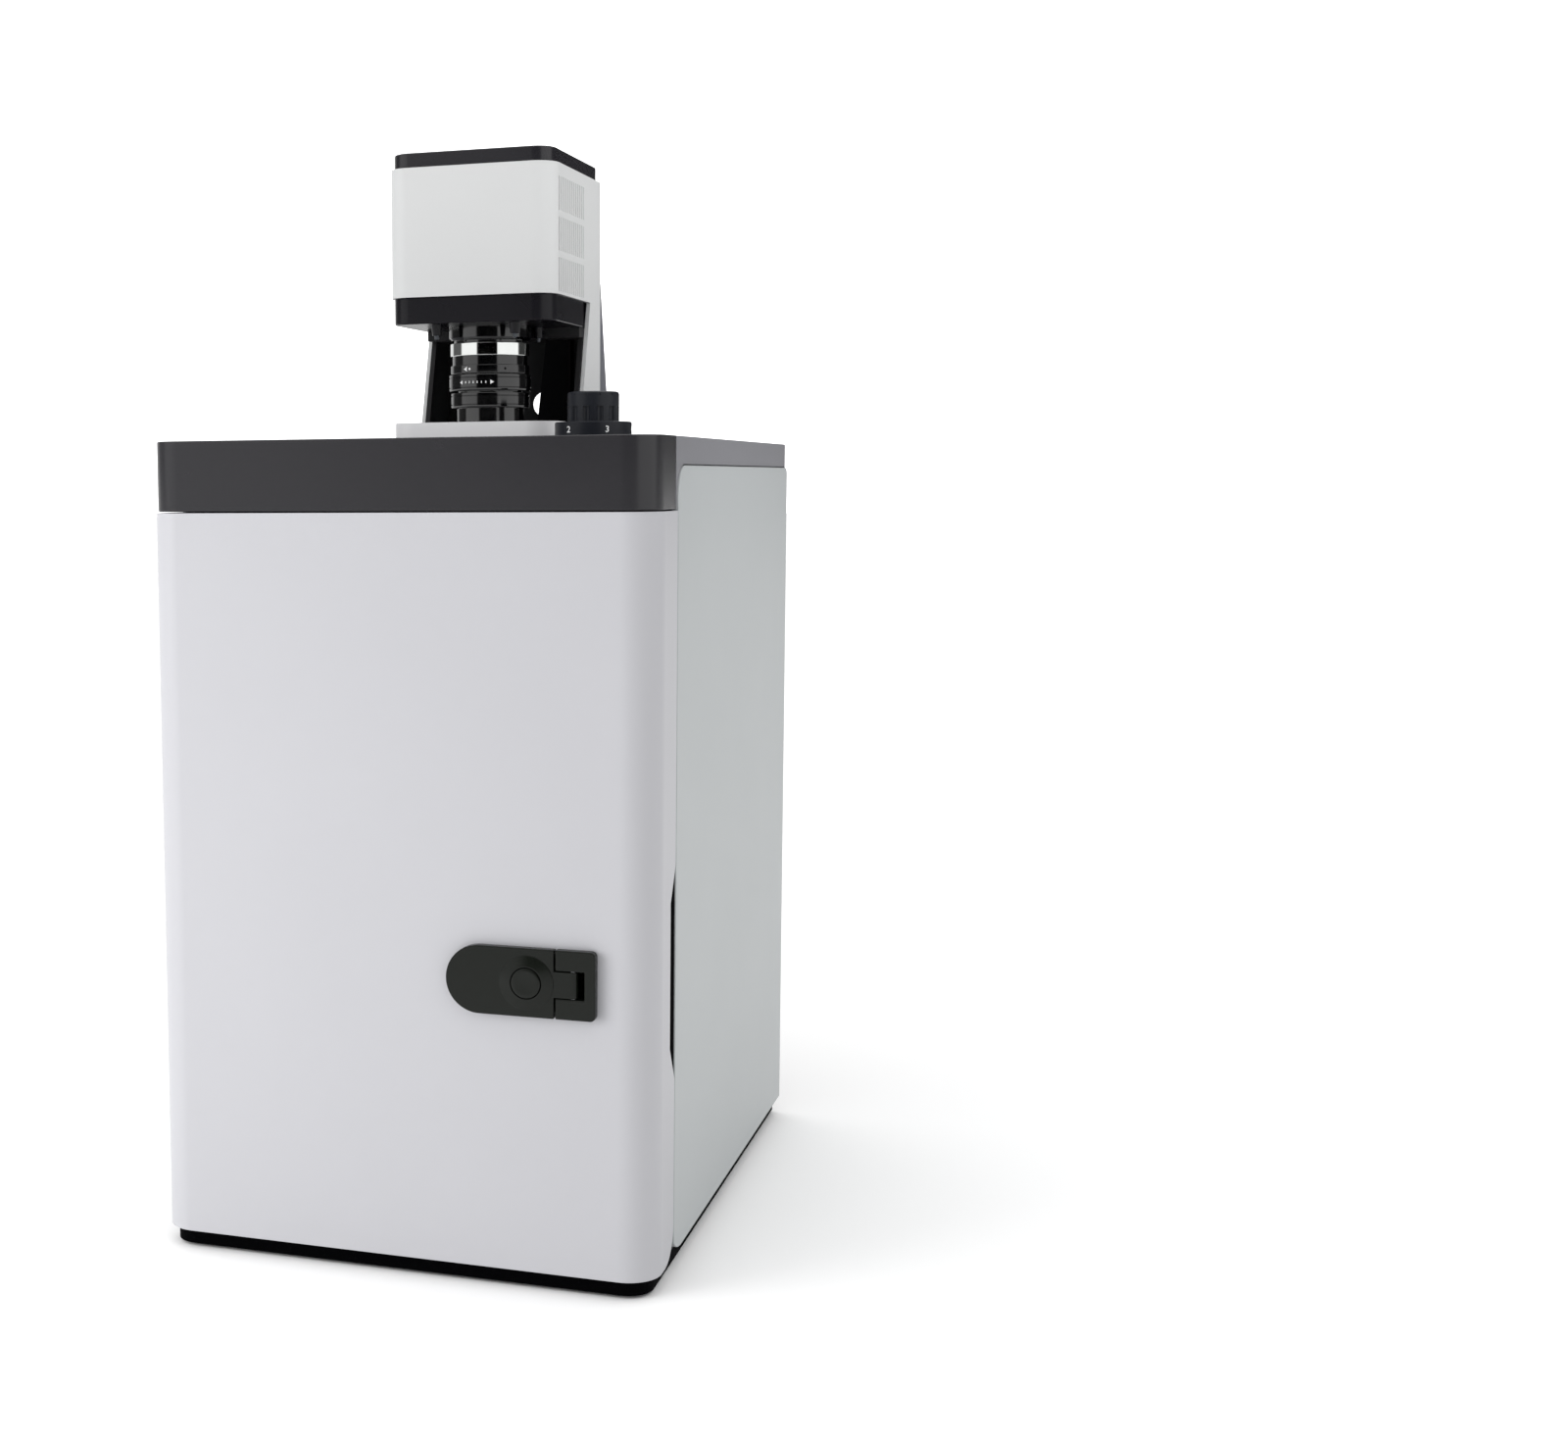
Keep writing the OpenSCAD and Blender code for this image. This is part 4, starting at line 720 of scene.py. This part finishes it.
class IMAGER_OT_latch(bpy.types.Operator):
    """Models the lever latch: the handle with its boss, the lugs it folds into and the button"""

    bl_idname = "imager.latch"
    bl_label = "Latch"

    def execute(self, context):
        s = context.scene.imager_latch
        self.base(s)
        self.handle(s)
        self.button(s)
        return {"FINISHED"}

    def base(self, s):
        """A square end with a slot for the handle's tongue, on a pan let into the door."""
        low, high = reach("latch_base")
        door_y = reach("door_shell")[0].y
        bar, half, length = 6.2, 7.8, 22.6
        centre = (low.z + high.z) / 2
        lug = high.x - length
        shape = outline(lug, high.x, low.z, high.z, [0, 3, 3, 0], 5)
        shape += [(lug, centre + half), (high.x - bar, centre + half)]
        shape += [(high.x - bar, centre - half), (lug, centre - half)]
        base = prism("latch_lugs", "y", shape, low.y, door_y)
        soften(base, s.edge, 3)
        pan = prism("pan", "y", latch_pan(low, high, 0.05), door_y, high.y)
        combine(pan, prism("well", "y", latch_pan(low, high, 1.5), door_y - 1, high.y - 1.5))
        combine(base, pan, "UNION")
        settle(base, "latch_black", "door", "latch_base")

    def handle(self, s):
        """A lever with a half-round end, a cone boss, and a tongue that ends in the knuckle."""
        low, high = reach("latch_handle")
        centre, pin = middle("latch_button"), middle("latch_pin")
        rise, knuckle, tongue, bore_r, hub_r, pin_r = 1.5, 3, 7.3, 8.5, 11.5, 1.55
        face, back = low.y + rise, low.y + 6.6
        half = (high.z - low.z) / 2
        square_end = reach("latch_base")[1].x - 23.4
        shape = arc((low.x + half, centre.z), half, 90, 270, 40)
        shape += [(square_end, low.z), (square_end, high.z)]
        handle = prism("latch_lever", "y", shape, face, back)
        soften(handle, s.edge, 3)
        shape = [(square_end - 2, face + 0.1), (pin.x, face + 0.1)]
        shape += arc((pin.x, pin.y), knuckle, -90, 90, 16)[1:] + [(square_end - 2, back - 0.1)]
        bar = prism("tongue", "z", shape, pin.z - tongue, pin.z + tongue)
        soften(bar, 0.3, 2, 60)
        combine(handle, bar, "UNION")
        boss = [(0, -3), (s.boss - 0.1, -3), (s.boss - 0.1, 0.25), (s.boss - 0.4, 0.45)]
        boss += [(9.8, rise), (0, rise)]
        spot, depth = (centre.x, face), high.y - back
        boss = turned("boss", boss, spot, centre.z, 96)
        hub = drum("hub", spot, hub_r, centre.z - depth - 5, centre.z - 3, 64)
        bore = drum("bore", spot, bore_r + s.groove, centre.z - 10.9, centre.z + 5, 96)
        for part, way in ((boss, "UNION"), (hub, "UNION"), (bore, "DIFFERENCE")):
            combine(handle, lay_back(part, (*spot, centre.z)), way)
        combine(handle, drum("pin_hole", pin, pin_r, low.z, high.z, 32))
        settle(handle, "latch_black", "latch_handle", "latch_handle")

    def button(self, s):
        """A shallow dished push button with a rolled edge."""
        low, high = reach("latch_button")
        centre = (low + high) / 2
        h, r = high.y - low.y, (high.x - low.x) / 2
        shape = [(0, 3), (r - 2, 3), (r - 2, 0), (r, 0), (r, h - 0.9), (r - 0.25, h - 0.35)]
        shape += [(r - 0.9, h), (r - 2.5, h - 0.05), (r * 0.5, h - 0.22), (0, h - 0.3)]
        button = turned("push_button", shape, (centre.x, high.y), centre.z, 96)
        lay_back(button, (centre.x, high.y, centre.z))
        settle(button, "latch_black", "latch_button", "latch_button")


# ---- filter knob ----


class IMAGER_OT_knob(bpy.types.Operator):
    """Models the fluted knob on its numbered skirt"""

    bl_idname = "imager.knob"
    bl_label = "Filter knob"

    def execute(self, context):
        s = context.scene.imager_knob
        low, high = reach("filter_knob")
        centre = (low + high) / 2
        base, dial, grip = low.z, (high.x - low.x) / 2, 15.1
        top, skirt = high.z - base, 9.4
        flute, notch, shaft = 2.3, 0.5, 4
        shape = [(0, 0), (dial - 0.4, 0), (dial, 0.4), (dial, skirt - 0.9)]
        shape += [(dial - 0.25, skirt - 0.25), (dial - 0.9, skirt), (grip + 0.5, skirt)]
        shape += [(grip, skirt + 0.5), (grip, top - 1.5)]
        shape += [(grip - 0.4, top - 0.5), (grip - 1.4, top), (grip - 2.6, top - 0.1)]
        shape += [(grip - 3.0, top - 0.7), (0, top - 0.7)]
        knob = turned("fluted_knob", shape, centre, base, 120)
        combine(knob, drum("bore", centre, shaft, base - 1, base + 8, 32))
        for i in range(s.flutes):
            turn = math.tau * i / s.flutes
            place = polar(centre, grip + 0.9, turn)
            combine(knob, drum("flute", place, flute, base + skirt + 0.6, base + skirt + 9, 20))
            place = polar(centre, grip + 0.1, turn)
            combine(knob, drum("notch", place, notch, base + top - 2.4, base + top + 1, 8))
        settle(knob, "knob_black", "filter_knob", "filter_knob")
        for i in range(s.digits):
            turn = math.radians(s.first + 360 * i / s.digits)
            self.number(str(i + 1), centre, turn, dial, base + skirt / 2, s.digit)
        return {"FINISHED"}

    def number(self, body, centre, turn, radius, height, tall):
        """One printed number, square to the skirt."""
        deselect()
        bpy.ops.object.text_add(rotation=(math.pi / 2, 0, turn + math.pi / 2))
        text = bpy.context.active_object
        text.name = "number_" + body
        text.data.body, text.data.size = body, tall * DIGIT_BODY * MM
        text.data.extrude, text.data.offset = 0.12 * MM, 0.05 * MM
        text.data.align_x, text.data.align_y = "CENTER", "CENTER"
        text.data.resolution_u = 4
        text.location = Vector((*polar(centre, radius - 0.02, turn), height)) * MM
        bpy.ops.object.convert(target="MESH")
        number = bpy.context.active_object
        fix_in_place()
        settle(number, "knob_black", "filter_knob")
        number.data.materials[0] = bpy.data.materials["white_ink"]


# ---- camera head ----


class IMAGER_OT_head(bpy.types.Operator):
    """Models the head's white housing with its legs and vents, its cap and skirt, and the foot"""

    bl_idname = "imager.head"
    bl_label = "Camera head"

    def execute(self, context):
        s = context.scene.imager_head
        self.housing(s)
        self.cap()
        self.skirt()
        self.foot()
        self.thumb_screws()
        return {"FINISHED"}

    def housing(self, s):
        """The shell with its two legs, open to the column, and its groups of vent slots."""
        low, high = reach("head_housing")
        front, back, crown, wall = 13.5, 4, 5, s.wall
        split = reach("head_skirt")[1].z
        foot, top = high.y - 49, high.y - 27.5
        shape = plan(low, high, [front, front, back, back])
        housing = prism("head_shell", "z", shape, low.z, high.z)
        side = [(low.y - 1, split), (top, split), (foot, low.z), (high.y + 1, low.z)]
        side += [(high.y + 1, high.z - crown)]
        side += arc((high.y - crown, high.z - crown), crown, 0, 90, 8) + [(low.y - 1, high.z)]
        combine(housing, prism("cheek", "x", side, low.x - 1, high.x + 1), "INTERSECT")
        shape = plan(low, high, [front - wall, front - wall, 1.5, 1.5], inset=wall)
        combine(housing, prism("hollow", "z", shape, low.z - 1, high.z - wall))
        start = (low.x + wall, high.y - 2 * wall, low.z - 1)
        end = (high.x - wall, high.y + wall, reach("column_cover")[1].z)
        combine(housing, block("gap", start, end))
        hole = drum("warm_air", (0, low.y + 62), 24, high.z - wall - 1, high.z + 1, 48)
        combine(housing, hole)
        soften(housing, 0.8, 3)
        first, bottom, tall, step, groups = low.y + 13, split + 1.7, 20, 23.8, 3
        start, end = (low.x - 1, first, bottom), (high.x + 1, first + s.slot, bottom + tall)
        moves = [(0, i * s.pitch, j * step) for j in range(groups) for i in range(s.slots)]
        combine(housing, copies(block("slots", start, end), moves[1:]))
        settle(housing, "head_white", "root", "head_housing")
        thick, gap = 0.8, 0.05
        sheet = outline(first - 3, first + 60, split + 1, high.z - 5, [2, 2, 2, 2], 4)
        for side, x in (("left", low.x + wall + gap), ("right", high.x - wall - gap - thick)):
            fleece = prism("dust_fleece_" + side, "x", sheet, x, x + thick)
            soften(fleece, 0.2, 1)
            settle(fleece, "head_white", "root")

    def cap(self):
        """A shallow lid, let in on the housing."""
        low, high = reach("head_cap")
        cap = prism("head_cap_skin", "z", plan(low, high, [12, 12, 3, 3]), low.z, high.z)
        inner = plan(low, high, [10, 10, 1, 1], inset=2)
        combine(cap, prism("hollow", "z", inner, low.z - 1, high.z - 2))
        soften(cap, 0.9, 3)
        settle(cap, "satin_black", "root", "head_cap")

    def skirt(self):
        """A black pan under the housing, with the hole for the lens."""
        low, high = reach("head_skirt")
        skirt = prism("head_skirt_skin", "z", plan(low, high, [12.5, 12.5, 1, 1]), low.z, high.z)
        inner = plan(low, high, [10, 10, 0, 0], inset=2.5)
        combine(skirt, prism("hollow", "z", inner, low.z + 3, high.z + 3))
        combine(skirt, drum("lens_hole", middle(LENS), 19, low.z - 1, low.z + 4, 64))
        soften(skirt, 0.8, 3)
        settle(skirt, "skirt_black", "root", "head_skirt")

    def foot(self):
        """The plate on the lid, with holes for the lens and the camera's lead."""
        low, high = reach("foot_plate")
        plate = prism("foot_skin", "z", plan(low, high, [17, 17, 4, 4], 14), low.z, high.z)
        combine(plate, drum("lens_hole", middle(LENS), 23, low.z - 1, high.z + 1, 64))
        lead = middle("cable_duct")
        combine(plate, drum("lead_hole", lead, LEAD_BORE, low.z - 1, high.z + 1, 32))
        soften(plate, 0.7, 3)
        settle(plate, "plate_grey", "root", "foot_plate")

    def thumb_screws(self):
        """Captive screws with a taper grip and a bright tip."""
        low, high = reach("thumb_screws")
        h, inset = high.z - low.z, 3.6
        shape = [(0, 2.4), (2.6, 2.4), (2.9, 2.8), (3.55, h), (0, h)]
        tips = [(0, 0), (1.1, 0), (1.4, 0.3), (1.75, 2.5), (0, 2.5)]
        x, y = low.x + inset, low.y + inset
        across, along = high.x - inset - x, high.y - inset - y
        moves = [(across, 0, 0), (0, along, 0), (across, along, 0)]
        grip = copies(turned("screw_grips", shape, (x, y), low.z, 36), moves)
        settle(grip, "skirt_black", "root", "thumb_screws")
        tip = copies(turned("screw_tips", tips, (x, y), low.z, 24), moves)
        settle(tip, "hinge_steel", "root", "thumb_screws")


# ---- lens ----


class IMAGER_OT_lens(bpy.types.Operator):
    """Turns the rings of the lens, and prints its index marks"""

    bl_idname = "imager.lens"
    bl_label = "Lens"

    def execute(self, context):
        for node, slot, body, lip, band in (
            ("lens_adapter", "lens_black", "root", 1.5, 0),
            ("silver_ring", "silver", "root", 0.4, 0),
            ("lens_lock_ring", "lens_black", "root", 0.5, 0),
            ("focus_ring", "lens_black", "focus_ring", 0.6, 0.35),
            ("aperture_ring", "lens_black", "aperture_ring", 0.6, 0.35),
        ):
            self.ring(node, slot, body, lip, band)
        self.marks()
        return {"FINISHED"}

    def ring(self, node, slot, body, lip, band):
        """A ring with rolled edges, and on a grip ring a fine groove near each edge."""
        low, high = reach(node)
        centre = (low + high) / 2
        r, h = (high.x - low.x) / 2, high.z - low.z
        bore, roll = 20.05, lip * 0.3
        if node == "lens_adapter":
            bore, neck, step = 17, 22.4, 1.8
            shape = [(bore, 0), (neck, 0), (neck, step), (r - lip, step), (r, step + lip), (r, h)]
        else:
            shape = [(bore, 0), (r - lip, 0), (r - roll, roll), (r, lip)]
            if band:
                for z in (1.7, h - 2.3):
                    shape += [(r, z), (r - band, z + 0.2), (r - band, z + 0.4), (r, z + 0.6)]
            shape += [(r, h - lip), (r - roll, h - roll), (r - lip, h)]
        shape += [(bore, h), (bore, 0)]
        ring = turned(node + "_turned", shape, centre, low.z, 120)
        if node == "lens_lock_ring":
            hole = arc((0, 0), 0.8, 0, 360, 16)[:-1]
            combine(ring, self.radial("screw_hole", hole, -50, r - 1.5, low.z + 2.7, 3))
        settle(ring, slot, body, node)

    def marks(self):
        """White index marks: a dot and an arrowhead, and below them arrows and ticks."""
        dot, tick = arc((0, 0), 0.7, 0, 360, 12)[:-1], outline(-0.25, 0.25, -0.7, 0.7, [0] * 4)
        arrow = [(-1.2, 0), (1.3, -1.5), (0.9, 0), (1.3, 1.5)]
        left, right = [(-1.4, 0), (0.6, -1.1), (0.6, 1.1)], [(1.6, 0), (-0.8, -1.3), (-0.8, 1.3)]
        index = [("lock_dot", dot, -103), ("lock_arrow", arrow, -110)]
        scale = [("arrow_left", left, -115), ("arrow_right", right, -70)]
        scale += [("tick_%d" % i, tick, -108 + 6 * i) for i in range(6)]
        rows = ("lens_lock_ring", "root", index), ("focus_ring", "focus_ring", scale)
        for node, body, marks in rows:
            low, high = reach(node)
            for name, shape, turn in marks:
                self.mark(name, shape, turn, (high.x - low.x) / 2, (low.z + high.z) / 2, body)

    def radial(self, name, shape, degrees, radius, height, depth):
        """A flat outline that stands on the lens's radius at an angle, extruded outward."""
        t, centre = math.radians(degrees), middle(LENS)
        out, up = Vector((math.cos(t), math.sin(t), 0)), Vector((0, 0, 1))
        side = up.cross(out)
        foot = Vector((centre.x, centre.y, height)) + out * radius
        return extruded(name, [foot + side * a + up * b for a, b in shape], out * depth)

    def mark(self, name, shape, degrees, radius, height, body):
        """A thin printed shape, as wide as the ring's curve lets it lie flat."""
        sag = max(abs(point[0]) for point in shape) ** 2 / (2 * radius)
        mark = self.radial(name, shape, degrees, radius - sag, height, sag + 0.12)
        settle(mark, "lens_black", body)
        mark.data.materials[0] = bpy.data.materials["white_ink"]


# ---- chamber ----


class IMAGER_OT_tray(bpy.types.Operator):
    """Models the sample tray: a shallow pan with a front rail and a grip slot"""

    bl_idname = "imager.tray"
    bl_label = "Sample tray"

    def execute(self, context):
        low, high = reach("sample_tray")
        deep, wall, rail = 10, 2, 4
        tray = block("tray_pan", low, (high.x, high.y, low.z + deep))
        bpy.ops.object.mode_set(mode="EDIT")
        pick(tray, lambda place, along: abs(along.z) > 0.9, "EDGE")
        bpy.ops.mesh.bevel(offset=4 * MM, segments=6, affect="EDGES")
        pick(tray, lambda place, normal: normal.z > 0.9)
        bpy.ops.mesh.inset(thickness=wall * MM)
        down = {"value": (0, 0, (wall - deep) * MM)}
        bpy.ops.mesh.extrude_region_move(TRANSFORM_OT_translate=down)
        bpy.ops.object.mode_set(mode="OBJECT")
        shape = outline(low.x + 10, high.x - 10, low.z, high.z, [4] * 4, 6)
        combine(tray, prism("rail", "y", shape, low.y, low.y + rail), "UNION")
        shape = outline(-35, 35, low.z + 7, low.z + 15, [3.9] * 4, 8)
        combine(tray, prism("grip", "y", shape, low.y - 1, low.y + rail + 1))
        soften(tray, 0.4, 2)
        settle(tray, "tray_white", "sample_tray", "sample_tray")
        return {"FINISHED"}


# ---- stage ----


class IMAGER_OT_stage(bpy.types.Operator):
    """Sets the pale floor, the soft lights and the camera"""

    bl_idname = "imager.stage"
    bl_label = "Stage"

    def execute(self, context):
        s = context.scene.imager_stage
        deselect()
        bpy.ops.mesh.primitive_plane_add(size=60, location=(0, 0, 0))
        floor = added("floor")
        tree, shader, place = new_finish("studio_floor", Roughness=0.9, Specular_IOR_Level=0.0)
        cloud = noise(tree, place, 900, 2.0)
        shade(tree, shader, cloud, s.floor_colour, 0.01)
        floor.data.materials.append(bpy.data.materials["studio_floor"])
        self.backdrop()
        self.sky(context, s)
        self.lights(s)
        self.camera(context)
        context.scene.view_settings.view_transform = "Standard"
        return {"FINISHED"}

    def backdrop(self):
        """A white dome far behind the object. It is only looked at: it lights nothing."""
        deselect()
        bpy.ops.mesh.primitive_uv_sphere_add(radius=29, location=(0, 0, 0))
        dome = added("backdrop")
        new_finish("studio_backdrop", Roughness=1, Emission_Color=WHITE, Emission_Strength=1.1)
        dome.data.materials.append(bpy.data.materials["studio_backdrop"])
        dome.visible_diffuse = dome.visible_glossy = dome.visible_transmission = False
        dome.visible_shadow = dome.visible_volume_scatter = False

    def sky(self, context, s):
        """Two soft boxes in front, dark between them, a light wall behind and a light roof."""
        world = bpy.data.worlds.new("studio")
        world.use_nodes = True
        tree = world.node_tree
        tree.nodes.clear()
        toward = put(tree, "TexCoord").outputs["Generated"]
        part = put(tree, "SeparateXYZ", {"Vector": toward}).outputs
        turn = put(tree, "Math", {0: part["Y"], 1: part["X"]}, operation="ARCTAN2")
        share = {0: turn.outputs["Value"], 1: 1 / math.tau, 2: 0.5}
        share = put(tree, "Math", share, operation="MULTIPLY_ADD")
        ramp = put(tree, "ValToRGB", {"Fac": share.outputs["Value"]})
        stops = ramp.color_ramp.elements
        stops.remove(stops[1])
        for degrees, strength in SURROUND:
            stop = stops.new((degrees + 180) / 360) if degrees > -180 else stops[0]
            stop.color = (strength, strength, strength, 1)
        boxes = {0: ramp.outputs["Color"], 1: s.boxes}
        boxes = put(tree, "Math", boxes, operation="MULTIPLY").outputs["Value"]
        rise = {"Value": part["Z"], "From Min": 0.3, "From Max": 0.65}
        rise = put(tree, "MapRange", rise, interpolation_type="SMOOTHSTEP")
        light = put(tree, "Mix", {0: rise.outputs["Result"], 2: boxes, 3: s.roof})
        surround = put(tree, "Background", {"Color": WHITE, "Strength": light.outputs[0]})
        put(tree, "OutputWorld", {"Surface": surround.outputs["Background"]})
        context.scene.world = world

    def lights(self, s):
        """A soft key light at the door's left and a fill at the head's right, neither mirrored."""
        for name, wide, tall, spread, place, aim in LIGHTS:
            bpy.ops.object.light_add(type="AREA", location=place)
            light = added(name)
            light.visible_glossy = False
            light.data.shape, light.data.size, light.data.size_y = "RECTANGLE", wide, tall
            light.data.energy, light.data.spread = getattr(s, name), math.radians(spread)
            toward = Vector(aim) - Vector(place)
            light.rotation_euler = toward.to_track_quat("-Z", "Y").to_euler()

    def camera(self, context):
        """Three-quarter view from the right, a little above."""
        bpy.ops.object.camera_add(location=CAMERA_PLACE)
        camera = added("camera")
        yaw, pitch, roll = (math.radians(turn) for turn in CAMERA_TURNS)
        camera.rotation_mode = "QUATERNION"
        flat = math.cos(pitch)
        ahead = Vector((-math.sin(yaw) * flat, math.cos(yaw) * flat, -math.sin(pitch)))
        look = ahead.to_track_quat("-Z", "Y")
        camera.rotation_quaternion = look @ Quaternion((0, 0, 1), roll)
        camera.data.sensor_width = 36
        camera.data.lens = CAMERA_LENS
        camera.data.shift_x, camera.data.shift_y = CAMERA_SHIFT
        camera.data.clip_start, camera.data.clip_end = 0.01, 100
        context.scene.camera = camera


class IMAGER_PT_panel(bpy.types.Panel):
    """Lists the imager's pieces and their settings"""

    bl_label = "Gel Imager"
    bl_idname = "IMAGER_PT_panel"
    bl_space_type = "VIEW_3D"
    bl_region_type = "UI"
    bl_category = "Gel Imager"

    def draw(self, context):
        for name, group in SETTINGS.items():
            box = self.layout.box()
            for prop in group.__annotations__:
                box.prop(getattr(context.scene, name), prop)
        for operator in OPERATORS:
            self.layout.operator(operator.bl_idname)


SETTINGS = {
    "imager_cabinet": ImagerCabinet,
    "imager_latch": ImagerLatch,
    "imager_knob": ImagerKnob,
    "imager_head": ImagerHead,
    "imager_stage": ImagerStage,
}
OPERATORS = (
    IMAGER_OT_finishes,
    IMAGER_OT_door,
    IMAGER_OT_side_panels,
    IMAGER_OT_lid,
    IMAGER_OT_latch,
    IMAGER_OT_knob,
    IMAGER_OT_head,
    IMAGER_OT_lens,
    IMAGER_OT_tray,
    IMAGER_OT_stage,
)


def register():
    for cls in (*SETTINGS.values(), *OPERATORS, IMAGER_PT_panel):
        bpy.utils.register_class(cls)
    for name, group in SETTINGS.items():
        setattr(bpy.types.Scene, name, PointerProperty(type=group))


def unregister():
    for name in SETTINGS:
        delattr(bpy.types.Scene, name)
    for cls in (IMAGER_PT_panel, *reversed(OPERATORS), *reversed(SETTINGS.values())):
        bpy.utils.unregister_class(cls)


def main():
    register()
    for operator in OPERATORS:
        group, name = operator.bl_idname.split(".")
        getattr(getattr(bpy.ops, group), name)()


if __name__ == "__main__":
    main()
